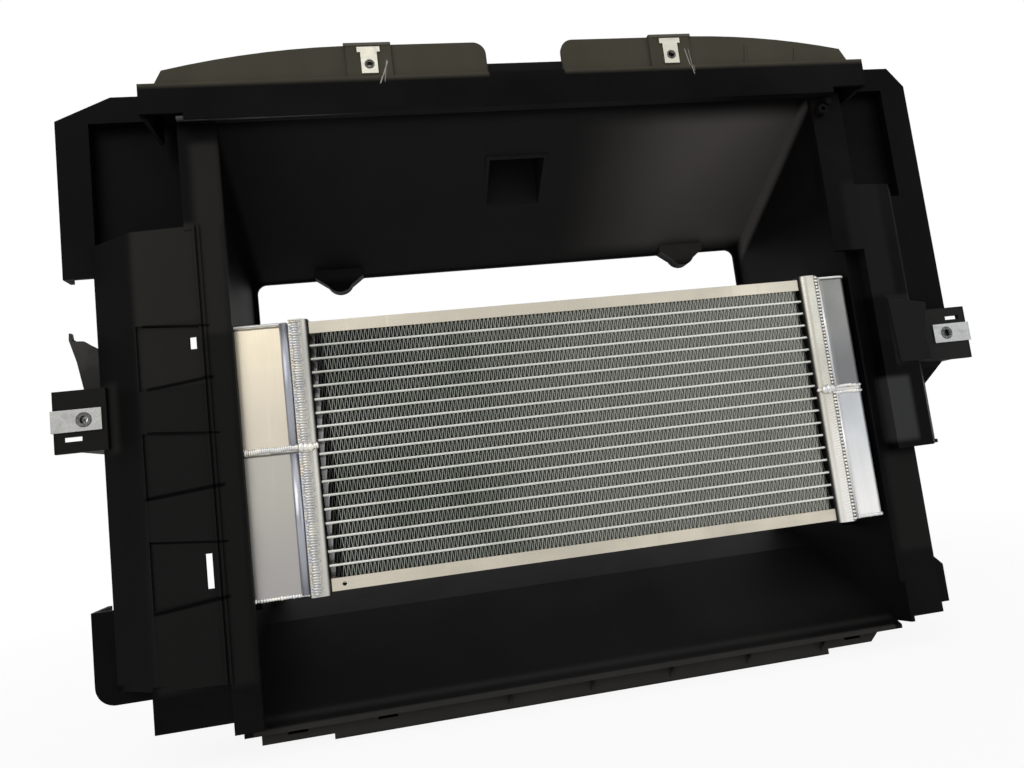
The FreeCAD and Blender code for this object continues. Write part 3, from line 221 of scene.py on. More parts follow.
class Paint(Maker):
    """Builds the nodes of one material."""

    def __init__(self, name: str) -> None:
        """Start an empty material.

        Args:
            name: The material's name.
        """
        self.material = bpy.data.materials.new(name)
        self.material.use_nodes = True
        super().__init__(self.material.node_tree)
        self.tree.nodes.clear()
        self.where = self.node("ShaderNodeTexCoord", out="Object")
        split = self.node("ShaderNodeSeparateXYZ", sockets={0: self.where}).socket.node
        self.x, self.y, self.z = (Value(self, split.outputs[axis]) for axis in "XYZ")

    def stretched(self, factors: Point) -> Value:
        """Object coordinates, stretched along each axis."""
        return self.node("ShaderNodeMapping", sockets={"Vector": self.where, "Scale": factors})

    def noise(self, scale: float, detail: float = 3.0, factors: Point = (1.0, 1.0, 1.0)) -> Value:
        """Soft noise between 0 and 1, with its coarseness in features per metre."""
        sockets = {"Vector": self.stretched(factors), "Scale": scale, "Detail": detail}
        return self.node("ShaderNodeTexNoise", sockets=sockets)

    def cells(self, scale: float) -> Value:
        """Distance to the nearest of many scattered points."""
        return self.node("ShaderNodeTexVoronoi", sockets={"Vector": self.where, "Scale": scale})

    def blend(self, factor: Any, first: Any, second: Any) -> Value:
        """Mix two colours."""
        sockets = {0: factor, 6: self.colour(first), 7: self.colour(second)}
        return self.node("ShaderNodeMix", {"data_type": "RGBA"}, sockets, out=2)

    @staticmethod
    def colour(value: Any) -> Any:
        """Give a plain colour its alpha."""
        return value if isinstance(value, Value) else (*value, 1.0)

    def bump(self, height: Value, depth: float, strength: float = 1.0, under: Value | None = None) -> Value:
        """Turn a height into a normal.

        Args:
            height: The height, from 0 to 1.
            depth: What a height of 1 means, in metres.
            strength: Share of the effect.
            under: A normal that this one is added to.

        Returns:
            The normal.
        """
        sockets = {"Height": height, "Distance": depth, "Strength": strength}
        if under is not None:
            sockets["Normal"] = under
        return self.node("ShaderNodeBump", sockets=sockets)

    def finish(self, **sockets: Any) -> bpy.types.Material:
        """Close the material with a Principled shader.

        Args:
            **sockets: The shader's sockets, with underscores for spaces.

        Returns:
            The material.
        """
        named = {name.replace("_", " "): value for name, value in sockets.items()}
        shader = self.node("ShaderNodeBsdfPrincipled", sockets=named)
        self.node_output(shader)
        return self.material

    def node_output(self, shader: Value) -> None:
        """Link a shader to the material's output."""
        output = self.tree.nodes.new("ShaderNodeOutputMaterial")
        self.tree.links.new(shader.socket, output.inputs["Surface"])


class Recipe(Maker):
    """A Geometry Nodes tree with named inputs."""

    SOCKETS = {float: "NodeSocketFloat", int: "NodeSocketInt", Vector: "NodeSocketVector"}

    def __init__(self, name: str, **inputs: Any) -> None:
        """Start a tree.

        Args:
            name: The tree's name.
            **inputs: Each input's name with its first value.
        """
        super().__init__(bpy.data.node_groups.new(name, "GeometryNodeTree"))
        face = self.tree.interface
        face.new_socket("Geometry", in_out="OUTPUT", socket_type="NodeSocketGeometry")
        face.new_socket("Geometry", in_out="INPUT", socket_type="NodeSocketGeometry")
        face.new_socket("Finish", in_out="INPUT", socket_type="NodeSocketMaterial")
        self.ids: dict[str, str] = {}
        for label, value in inputs.items():
            face.new_socket(label, in_out="INPUT", socket_type=self.SOCKETS[type(value)])
        for item in face.items_tree:
            if item.in_out == "INPUT":
                self.ids[item.name] = item.identifier
        self.values = inputs
        entry = self.tree.nodes.new("NodeGroupInput")
        self.inputs = {socket.name: Value(self, socket) for socket in entry.outputs if socket.name}

    def close(self, geometry: Value) -> None:
        """End the tree with real geometry that wears its finish."""
        real = self.node("GeometryNodeRealizeInstances", sockets={0: geometry})
        sockets = {"Geometry": real, "Material": self.inputs["Finish"]}
        worn = self.node("GeometryNodeSetMaterial", sockets=sockets)
        out = self.tree.nodes.new("NodeGroupOutput")
        self.tree.links.new(worn.socket, out.inputs[0])

    def grow(self, name: str, finish: bpy.types.Material, start: bpy.types.Mesh | None = None,
             **changes: Any) -> bpy.types.Object:
        """Run the tree and keep its result as a plain mesh object.

        Args:
            name: The new piece's name.
            finish: Its material.
            start: The mesh that the tree starts from.
            **changes: Inputs that differ from their first values.

        Returns:
            The new piece.
        """
        seed = bpy.data.objects.new(name + "_start", start or bpy.data.meshes.new(name + "_start"))
        bpy.context.scene.collection.objects.link(seed)
        modifier = seed.modifiers.new("recipe", "NODES")
        modifier.node_group = self.tree
        modifier[self.ids["Finish"]] = finish
        for label, value in {**self.values, **changes}.items():
            modifier[self.ids[label]] = value
        graph = bpy.context.evaluated_depsgraph_get()
        mesh = bpy.data.meshes.new_from_object(seed.evaluated_get(graph))
        mesh.name = name
        seed.modifiers.remove(modifier)
        bpy.data.objects.remove(seed)
        return add_piece(name, mesh)


# Pieces


def add_piece(name: str, mesh: bpy.types.Mesh) -> bpy.types.Object:
    """Link a mesh as an object at the origin."""
    piece = bpy.data.objects.new(name, mesh)
    bpy.context.scene.collection.objects.link(piece)
    return piece


def settle(piece: bpy.types.Object, slot: str, *nodes: str) -> bpy.types.Object:
    """Fasten a piece to the part.

    Args:
        piece: The piece.
        slot: Not used.
        *nodes: CAD nodes that it stands for.

    Returns:
        The piece.
    """
    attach(piece, ROOT)
    if nodes:
        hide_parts(*nodes)
    LOG.info("%s: %d faces", piece.name, len(piece.data.polygons))
    return piece


def wear(node: str, finish: bpy.types.Material) -> None:
    """Give a CAD node its finish."""
    thing = frame["nodes"][node]
    if not thing.data.materials:
        thing.data.materials.append(finish)
    for slot in thing.material_slots:
        slot.material = finish


def round_edges(piece: bpy.types.Object, width: float, index: int = -1) -> None:
    """Round a piece's sharp edges.

    Args:
        piece: The piece.
        width: Width of the rounding, in millimetres.
        index: Material index of the rounding; -1 takes the neighbouring face's.
    """
    bevel = piece.modifiers.new("edges", "BEVEL")
    bevel.material = index
    bevel.width = width * MM
    bevel.segments = ROUNDING_STEPS
    bevel.limit_method = "ANGLE"
    bevel.angle_limit = math.radians(SHARP_DEGREES)
    bevel.use_clamp_overlap = True
    bevel.harden_normals = True
    graph = bpy.context.evaluated_depsgraph_get()
    rounded = bpy.data.meshes.new_from_object(piece.evaluated_get(graph))
    piece.modifiers.clear()
    piece.data = rounded


def softened(name: str, node: str, finish: bpy.types.Material, width: float,
             edge: bpy.types.Material | None = None) -> bpy.types.Object:
    """Copy a CAD node and round its edges.

    Args:
        name: The new piece's name.
        node: The CAD node.
        finish: The material.
        width: Width of the rounding, in millimetres.
        edge: The material of the rounding, where it differs.

    Returns:
        The new piece.
    """
    mesh = frame["nodes"][node].data.copy()
    mesh.name = name
    work = bmesh.new()
    work.from_mesh(mesh)
    bmesh.ops.remove_doubles(work, verts=work.verts, dist=MERGE * MM)
    flat = math.radians(FLAT_DEGREES)
    bmesh.ops.dissolve_limit(work, angle_limit=flat, verts=work.verts, edges=work.edges)
    for face in work.faces:
        face.smooth = False
        face.material_index = 0
    work.to_mesh(mesh)
    work.free()
    mesh.materials.clear()
    mesh.materials.append(finish)
    if edge:
        mesh.materials.append(edge)
    piece = add_piece(name, mesh)
    round_edges(piece, width, 1 if edge else -1)
    return piece


def skin(name: str, rings: Sequence[Sequence[Vector]], finish: bpy.types.Material, closed: bool = False,
         smooth: range = range(0)) -> bpy.types.Object:
    """Join rings of points into one closed skin.

    Args:
        name: The piece's name.
        rings: The rings, each a closed row of points in metres.
        finish: The material.
        closed: Whether the last ring meets the first; if not, each end gets a face.
        smooth: Numbers of the points whose faces are shaded smooth.

    Returns:
        The piece.
    """
    mesh = bpy.data.meshes.new(name)
    work = bmesh.new()
    loops = [[work.verts.new(point) for point in ring] for ring in rings]
    followers = loops[1:] + loops[:1] if closed else loops[1:]
    for ring, after in zip(loops, followers):
        for index in range(len(ring)):
            follower = (index + 1) % len(ring)
            face = work.faces.new((ring[index], ring[follower], after[follower], after[index]))
            face.smooth = index in smooth
    if not closed:
        work.faces.new(loops[0])
        work.faces.new(loops[-1])
    bmesh.ops.recalc_face_normals(work, faces=work.faces)
    work.to_mesh(mesh)
    work.free()
    mesh.materials.append(finish)
    return add_piece(name, mesh)


def plate(name: str, outline: Sequence[Corner], front: float, back: float, finish: bpy.types.Material,
          width: float = 0.4) -> bpy.types.Object:
    """Cut a small plate that faces forwards and round its edges.

    Args:
        name: The piece's name.
        outline: Its corners, across and up, in the core's millimetres.
        front: Depth of its front.
        back: Depth of its back.
        finish: The material.
        width: Width of the rounding, in millimetres.

    Returns:
        The piece.
    """
    piece = skin(name, [[place(x, y, z) for x, z in outline] for y in (front, back)], finish)
    round_edges(piece, width)
    return piece


def turned(name: str, centre: Vector, section: Sequence[Corner],
           finish: bpy.types.Material) -> bpy.types.Object:
    """Turn a closed section about an axis that runs backwards.

    Args:
        name: The piece's name.
        centre: A point on the axis, in metres.
        section: Radius and depth of each corner, in millimetres.
        finish: The material.

    Returns:
        The piece.
    """
    rings = []
    for step in range(TURN_STEPS):
        angle = 2 * math.pi * step / TURN_STEPS
        rings.append([centre + Vector((radius * math.cos(angle), depth, radius * math.sin(angle))) * MM
                      for radius, depth in section])
    return skin(name, rings, finish, closed=True)


# Finishes


@dataclass(frozen=True)
class PaintedLightPatch:
    """A soft-edged box of the moulding, in the core's millimetres, where light or shade is painted into its
    colour.
    """

    low: Point
    high: Point
    shade: Colour
    share: float = 1.0
    soft: float = 4.0

    def mask(self, paint: Paint) -> Value:
        """Mask of the box."""
        low, high = place(*self.low), place(*self.high)
        edge = self.soft * MM
        inside = None
        for axis, near, far in zip((paint.x, paint.y, paint.z), low, high):
            part = axis.ramp(near - edge, near + edge) * axis.ramp(far + edge, far - edge)
            inside = part if inside is None else inside * part
        return inside * self.share


@dataclass(frozen=True)
class PaintedLine:
    """A thin painted line on the front, from point to point, across and up in the core's millimetres: dark
    ones are painted shadow in grooves and steps, pale ones painted highlights.
    """

    start: tuple[float, float]
    end: tuple[float, float]
    width: float = 1.6
    front: float = 6.0
    tone: Colour = (0.0004, 0.0004, 0.0005)

    def mask(self, paint: Paint) -> Value:
        """Mask of the line."""
        first, last = place(self.start[0], 0, self.start[1]), place(self.end[0], 0, self.end[1])
        slope = (last.z - first.z) / (last.x - first.x)
        off = (paint.z - first.z - slope * (paint.x - first.x)).absolute()
        reach = self.width * MM
        along = paint.x.ramp(first.x - reach, first.x) * paint.x.ramp(last.x + reach, last.x)
        foot, head = sorted((first.z, last.z))
        along = along * paint.z.ramp(foot - reach, foot) * paint.z.ramp(head + reach, head)
        near = paint.y.ramp(at_y(self.front + 2), at_y(self.front))
        return off.ramp(reach, 0.35 * reach) * along * near


@dataclass(frozen=True)
class GrainedPlastic:
    """Black moulded plastic with a fine grain, dust and painted light from above on the flaps, and painted
    light and shade in patches and along lines.
    """

    name: str = "duct_plastic"
    colour: Colour = (0.0024, 0.0024, 0.0028)
    worn: Colour = (0.0058, 0.0058, 0.0060)
    # The flaps' top colour: dust together with painted light from above.
    dust: Colour = (0.066, 0.0600, 0.0455)
    # Painted light on the right of the top panel.
    painted_panel_light: Colour = (0.118, 0.110, 0.106)
    gloss: float = 0.035
    roughness: float = 0.46
    # Patches of painted light and shade: lighter on faces that catch light, darker in recesses and on shaded
    # faces.
    painted_light_patches: tuple[PaintedLightPatch, ...] = (
        PaintedLightPatch((-340, -8, -150), (-307, 30, 176), (0.0014, 0.0014, 0.0015), 0.9),
        PaintedLightPatch((-303, -12, 103), (-256, 2, 176), (0.0190, 0.0183, 0.0165), 0.95, 3.0),
        PaintedLightPatch((-303, -12, 58), (-256, 2, 103), (0.0160, 0.0154, 0.0142), 0.95, 3.0),
        PaintedLightPatch((-303, -12, -150), (-256, 2, 58), (0.0094, 0.0094, 0.0092), 0.95, 3.0),
        PaintedLightPatch((-256, -12, 92), (-236, 2, 236), (0.0175, 0.0168, 0.0155), 0.9),
        PaintedLightPatch((-256, -12, -150), (-236, 2, 92), (0.0095, 0.0094, 0.0090), 0.9),
        PaintedLightPatch((256, -12, 78), (292, 6, 176), (0.0090, 0.0090, 0.0092), 0.9),
        PaintedLightPatch((256, -12, 13), (281, 6, 40), (0.0012, 0.0012, 0.0014), 0.9, 2.0),
        PaintedLightPatch((266, -12, -42), (290, 6, 10), (0.0390, 0.0405, 0.0400), 0.95, 3.0),
        PaintedLightPatch((281, -12, 20), (320, 24, 78), (0.0125, 0.0125, 0.0125), 0.9, 2.0),
        PaintedLightPatch((262, 0, -130), (294, 70, -52), (0.0120, 0.0120, 0.0115), 0.9),
        PaintedLightPatch((-368, 12, 18), (-322, 24, 68), (0.0130, 0.0128, 0.0118), 0.9),
        PaintedLightPatch((322, 12, 18), (368, 24, 68), (0.0215, 0.0220, 0.0210), 0.9),
        PaintedLightPatch((-243, 20, 174), (250, 181, 262), (0.0170, 0.0165, 0.0165), 0.9),
        PaintedLightPatch((100, 20, -192), (252, 184, -96), (0.0120, 0.0118, 0.0118), 0.9, 30.0),
        PaintedLightPatch((-250, 14, -204), (250, 19, -182), (0.0500, 0.0480, 0.0455), 0.95),
        PaintedLightPatch((-246, 2, -194), (246, 8, -185.4), (0.0330, 0.0320, 0.0300), 0.95, 0.6),
        PaintedLightPatch((-29, -18, 270), (29, -12, 290), (0.0110, 0.0108, 0.0108), 0.9),
        PaintedLightPatch((-291, -13, 250), (-275, 34, 282), (0.0130, 0.0130, 0.0130), 0.9, 2.0),
        PaintedLightPatch((275, -13, 250), (291, 34, 282), (0.0130, 0.0130, 0.0130), 0.9, 2.0),
    )
    painted_lines: tuple[PaintedLine, ...] = (
        # Dark lines: painted shadow in the grooves and steps of the left strip.
        PaintedLine((-297, 58.2), (-252, 62.8), 2.0),
        PaintedLine((-305, -18.4), (-250, -13.6), 2.2),
        PaintedLine((-303, -96.5), (-252, -90.0), 2.2),
        PaintedLine((-298, 104.0), (-252, 99.6), 1.2),
        PaintedLine((-299, 27.8), (-250, 22.6), 1.2),
        PaintedLine((-303, -48.2), (-250, -53.0), 1.2),
        # Pale lines right of the top clip nuts: painted highlights.
        PaintedLine((-113.0, 271.9), (-106.6, 289.0), 1.8, -15.5, (0.34, 0.32, 0.29)),
        PaintedLine((-109.6, 274.0), (-107.4, 289.0), 3.0, -15.5, (0.26, 0.24, 0.22)),
        PaintedLine((132.6, 291.0), (136.7, 270.7), 2.2, -15.5, (0.34, 0.32, 0.29)),
        PaintedLine((135.6, 290.0), (137.4, 274.0), 3.0, -15.5, (0.26, 0.24, 0.22)),
    )

    def painted_panel_light_mask(self, paint: Paint) -> Value:
        """Mask of the painted light on the right of the top panel and at the top of the wall beside it."""
        across = paint.x.ramp(at_x(40), at_x(190))
        inside = paint.x.ramp(at_x(262), at_x(256))
        rise = paint.z + 0.56 * paint.y - (at_z(218) + 0.56 * at_y(76))
        above = rise.ramp(-0.006, 0.006)
        under = paint.z.ramp(at_z(262), at_z(252))
        deep = paint.y.ramp(at_y(6), at_y(16)) * paint.y.ramp(at_y(180), at_y(160))
        return across * inside * above * under * deep

    def make(self) -> bpy.types.Material:
        """Build the material."""
        paint = Paint(self.name)
        cloud = paint.noise(9.0, 4.0)
        flow = paint.noise(26.0, 3.0, (1.0, 1.0, 0.25))
        base = paint.blend(cloud.ramp(0.35, 0.75), self.colour, self.worn)
        # Paint light and shade into each patch.
        for painted_patch in self.painted_light_patches:
            base = paint.blend(painted_patch.mask(paint) * (0.75 + 0.4 * flow), base, painted_patch.shade)
        # Dust flecks all over; on the top of the flaps, dust together with painted light from above.
        high = paint.z.ramp(at_z(272), at_z(277))
        fleck = paint.noise(420.0, 2.0).ramp(0.56, 0.72)
        flaps = paint.x.absolute().ramp(at_x(29), at_x(31))
        ahead = paint.y.ramp(at_y(-8), at_y(-11))
        dust_and_light = (high * flaps * ahead * (0.65 + 0.45 * flow) + 0.03 * fleck * flow).lesser(1.0)
        base = paint.blend(dust_and_light, base, self.dust)
        # Paint the shadow and highlight lines.
        for painted_line in self.painted_lines:
            base = paint.blend(painted_line.mask(paint), base, painted_line.tone)
        # Painted light on the right of the top panel and the wall beside it.
        base = paint.blend(self.painted_panel_light_mask(paint) * (0.75 + 0.4 * cloud), base, self.painted_panel_light)
        grain = paint.cells(1900.0)
        rub = paint.noise(150.0, 5.0, (1.0, 1.0, 6.0))
        normal = paint.bump(grain, 0.00006, 0.30)
        normal = paint.bump(rub, 0.00012, 0.20, normal)
        rough = self.roughness + 0.14 * flow + 0.12 * dust_and_light
        return paint.finish(Base_Color=base, Roughness=rough, Normal=normal, Specular_IOR_Level=self.gloss)


@dataclass(frozen=True)
class LighterPlastic:
    """The same plastic, lighter in patches; on the moulding's rounded edges this is a painted highlight."""

    name: str = "duct_plastic_edge"
    colour: Colour = (0.0060, 0.0060, 0.0063)
    lighter: Colour = (0.026, 0.025, 0.023)
    gloss: float = 0.12

    def make(self) -> bpy.types.Material:
        """Build the material."""
        paint = Paint(self.name)
        worn = paint.noise(34.0, 4.0).ramp(0.38, 0.68)
        # Dust and painted light from above on the top of the flaps.
        high = paint.z.ramp(at_z(272), at_z(277)) * paint.y.ramp(
            at_y(-8), at_y(-11))
        # Patchy lighter colour; on the moulding's rounded edges a painted highlight.
        base = paint.blend(worn * 0.9, self.colour, self.lighter)
        base = paint.blend(0.7 * high, base, (0.076, 0.070, 0.055))
        nick = paint.noise(800.0, 3.0)
        normal = paint.bump(nick, 0.00008, 0.4)
        rough = 0.50 - 0.12 * worn
        return paint.finish(Base_Color=base, Roughness=rough, Normal=normal, Specular_IOR_Level=self.gloss)


class Grain(Enum):
    """The way a sheet was rolled or brushed."""

    ACROSS = (0.03, 1.0, 1.0)
    UPRIGHT = (1.0, 1.0, 0.03)


@dataclass(frozen=True)
class SheetAluminium:
    """Bare aluminium sheet with rolling lines and smudges, heat colours, painted shadow lines beside its
    welds, painted shade in a header's hollow and a painted reflection towards one end.
    """

    name: str
    colour: Colour
    shade: Colour
    grain: Grain
    roughness: float = 0.34
    painted_reflection_span: tuple[float, float] | None = None
    painted_reflection: Colour = (0.5, 0.5, 0.5)
    seams_x: tuple[float, ...] = ()
    shadow_lines_z: tuple[float, ...] = ()
    shadow_lines_x: tuple[float, ...] = ()
    ripple_x: float | None = None
    shaded_hollow_x: float | None = None

    def near(self, axis: Value, level: float, reach: float) -> Value:
        """Mask of a line at a level, in metres."""
        return (axis - level).absolute().ramp(reach, reach * 0.25)

    def tint(self, paint: Paint, base: Value) -> Value:
        """Add heat colours beside the upright welds, thin painted shadow lines below the level ones and
        beside a header's weld, and painted shade in the hollow beside a header.
        """
        bands = paint.noise(120.0, 2.0)
        hue = paint.blend(bands.ramp(0.4, 0.6), (0.42, 0.47, 0.58), (0.60, 0.54, 0.44))
        for x in self.seams_x:
            base = paint.blend(0.6 * self.near(paint.x, at_x(x), 0.0075), base, hue)
        # Painted shadow lines below the level welds.
        for z in self.shadow_lines_z:
            waver = paint.z + 0.0008 * paint.noise(140.0, 2.0)
            base = paint.blend(0.85 * self.near(waver, at_z(z) + 0.0004, 0.0011), base, (0.05, 0.048, 0.045))
        # A painted shadow line beside the header's weld.
        for x in self.shadow_lines_x:
            base = paint.blend(0.9 * self.near(paint.x, at_x(x), 0.0022), base, (0.04, 0.039, 0.036))
        # Painted shade on the header's inner face, deep in the gaps beside the fins.
        if self.shaded_hollow_x is not None:
            deep = paint.y.ramp(at_y(-3.4), at_y(-1.8)) * paint.y.ramp(at_y(43), at_y(41))
            shaded_cheek = self.near(paint.x, at_x(self.shaded_hollow_x), 0.0030)
            base = paint.blend(0.96 * deep * shaded_cheek, base, (0.012, 0.012, 0.012))
        return base

    def make(self) -> bpy.types.Material:
        """Build the material."""
        paint = Paint(self.name)
        smudge = paint.noise(16.0, 5.0)
        lines = paint.noise(900.0, 3.0, self.grain.value)
        base = paint.blend(smudge.ramp(0.3, 0.72), self.colour, self.shade)
        # A painted reflection that shifts the colour towards the lower end.
        if self.painted_reflection_span:
            low, high = (at_z(z) for z in self.painted_reflection_span)
            base = paint.blend(paint.z.ramp(high, low), base, self.painted_reflection)
        base = paint.blend(0.16 * lines, base, (0.34, 0.34, 0.34))
        base = self.tint(paint, base)
        dents = paint.noise(38.0, 2.0)
        normal = paint.bump(lines, 0.00003, 0.35)
        normal = paint.bump(dents, 0.0009, 0.18, normal)
        if self.ripple_x is not None:
            side = (paint.x - at_x(self.ripple_x)).absolute()
            scale = (paint.z + 26.0 * side * side) * (2 * math.pi / 0.0021) + 2.0 * paint.noise(90.0, 2.0)
            scales = scale.sine() * side.ramp(0.011, 0.001)
            normal = paint.bump(scales * 0.5 + 0.5, 0.00035, 0.55, normal)
            mottle = paint.noise(330.0, 3.0)
            normal = paint.bump(mottle, 0.0004, 0.35, normal)
        scratch = paint.noise(260.0, 1.0, (1.0, 1.0, 0.02)).ramp(0.66, 0.70)
        rough = self.roughness + 0.16 * smudge.ramp(0.35, 0.75) + 0.10 * lines + 0.12 * scratch
        return paint.finish(Base_Color=base, Metallic=0.92, Roughness=rough, Normal=normal)


@dataclass(frozen=True)
class CoreAluminium:
    """Brazed foil or tube: pale metal, greyer and a little green where flux has dried, with painted shade at
    the top left and at the fins' ends, and painted light towards the right.
    """

    name: str
    colour: Colour
    flux: Colour
    roughness: float
    ends: tuple[float, float] | None = None

    def make(self) -> bpy.types.Material:
        """Build the material."""
        paint = Paint(self.name)
        patch = paint.noise(22.0, 4.0)
        speck = paint.noise(700.0, 2.0)
        base = paint.blend(patch.ramp(0.4, 0.75), self.colour, self.flux)
        # Painted shade in the top left of the core.
        painted_shade_x = paint.x.ramp(-0.085, -0.15)
        painted_shade_z = paint.z.ramp(0.235, 0.275)
        base = paint.blend(0.30 * painted_shade_x * painted_shade_z, base, (0.12, 0.13, 0.12))
        # Painted light: the core grows lighter towards the right.
        base = paint.blend(0.55 * paint.x.ramp(-0.10, 0.03), base, (0.78, 0.78, 0.73))
        base = paint.blend(0.25 * speck.ramp(0.5, 0.8), base, (0.35, 0.35, 0.33))
        # Painted shade at both ends of the fins, in the gaps beside the headers.
        if self.ends:
            low, high = (at_x(x) for x in self.ends)
            shaded_left_end = paint.x.ramp(low + 0.0055, low + 0.0025)
            shaded_end = shaded_left_end.greater(paint.x.ramp(high - 0.003, high - 0.001))
            base = paint.blend(0.9 * shaded_end, base, (0.03, 0.03, 0.03))
        louvre = (paint.y * (2 * math.pi / 0.0014)).sine() * 0.5 + 0.5
        normal = paint.bump(louvre, 0.00008, 0.5)
        normal = paint.bump(speck, 0.00004, 0.4, normal)
        rough = self.roughness + 0.15 * patch
        return paint.finish(Base_Color=base, Metallic=0.85, Roughness=rough, Normal=normal)


@dataclass(frozen=True)
class WeldMetal:
    """Rippled weld: bright metal with straw and blue heat colours."""

    name: str = "weld_bead"
    tone: float = 1.0
    bright: Colour = (0.90, 0.87, 0.80)
    grey: Colour = (0.74, 0.74, 0.74)
    straw: Colour = (0.72, 0.63, 0.50)

    def shade(self, colour: Colour) -> Colour:
        """Scale a colour by the weld's tone."""
        return tuple(self.tone * part for part in colour)

    def make(self) -> bpy.types.Material:
        """Build the material."""
        paint = Paint(self.name)
        heat = paint.noise(60.0, 3.0)
        fine = paint.noise(1500.0, 2.0)
        base = paint.blend(heat.ramp(0.35, 0.5), self.shade(self.bright), self.shade(self.grey))
        base = paint.blend(heat.ramp(0.58, 0.7), base, self.shade(self.straw))
        normal = paint.bump(fine, 0.00005, 0.4)
        rough = 0.24 + 0.22 * fine
        return paint.finish(Base_Color=base, Metallic=0.95, Roughness=rough, Normal=normal)


@dataclass(frozen=True)
class PlatedSteel:
    """Zinc plated steel with fine scuffs."""

    name: str
    colour: Colour
    roughness: float

    def make(self) -> bpy.types.Material:
        """Build the material."""
        paint = Paint(self.name)
        spangle = paint.cells(650.0)
        scuff = paint.noise(380.0, 4.0, (0.12, 1.0, 1.0))
        stain = paint.noise(90.0, 3.0)
        base = paint.blend(stain.ramp(0.5, 0.8), self.colour, tuple(0.62 * c for c in self.colour))
        base = paint.blend(0.2 * spangle, base, (0.9, 0.9, 0.92))
        normal = paint.bump(scuff, 0.00004, 0.5)
        rough = self.roughness + 0.18 * scuff.ramp(0.4, 0.7)
        return paint.finish(Base_Color=base, Metallic=0.95, Roughness=rough, Normal=normal)


@dataclass(frozen=True)
class SoftSeal:
    """Foam or rubber: matt, with open or closed pores."""

    name: str
    colour: Colour
    pores: float
    depth: float

    def make(self) -> bpy.types.Material:
        """Build the material."""
        paint = Paint(self.name)
        pore = paint.cells(self.pores)
        dust = paint.noise(70.0, 3.0)
        base = paint.blend(0.4 * dust.ramp(0.45, 0.75), self.colour, (0.09, 0.088, 0.082))
        normal = paint.bump(pore, self.depth, 0.8)
        rough = 0.75 + 0.2 * pore
        return paint.finish(Base_Color=base, Roughness=rough, Normal=normal)


# Sub-assemblies


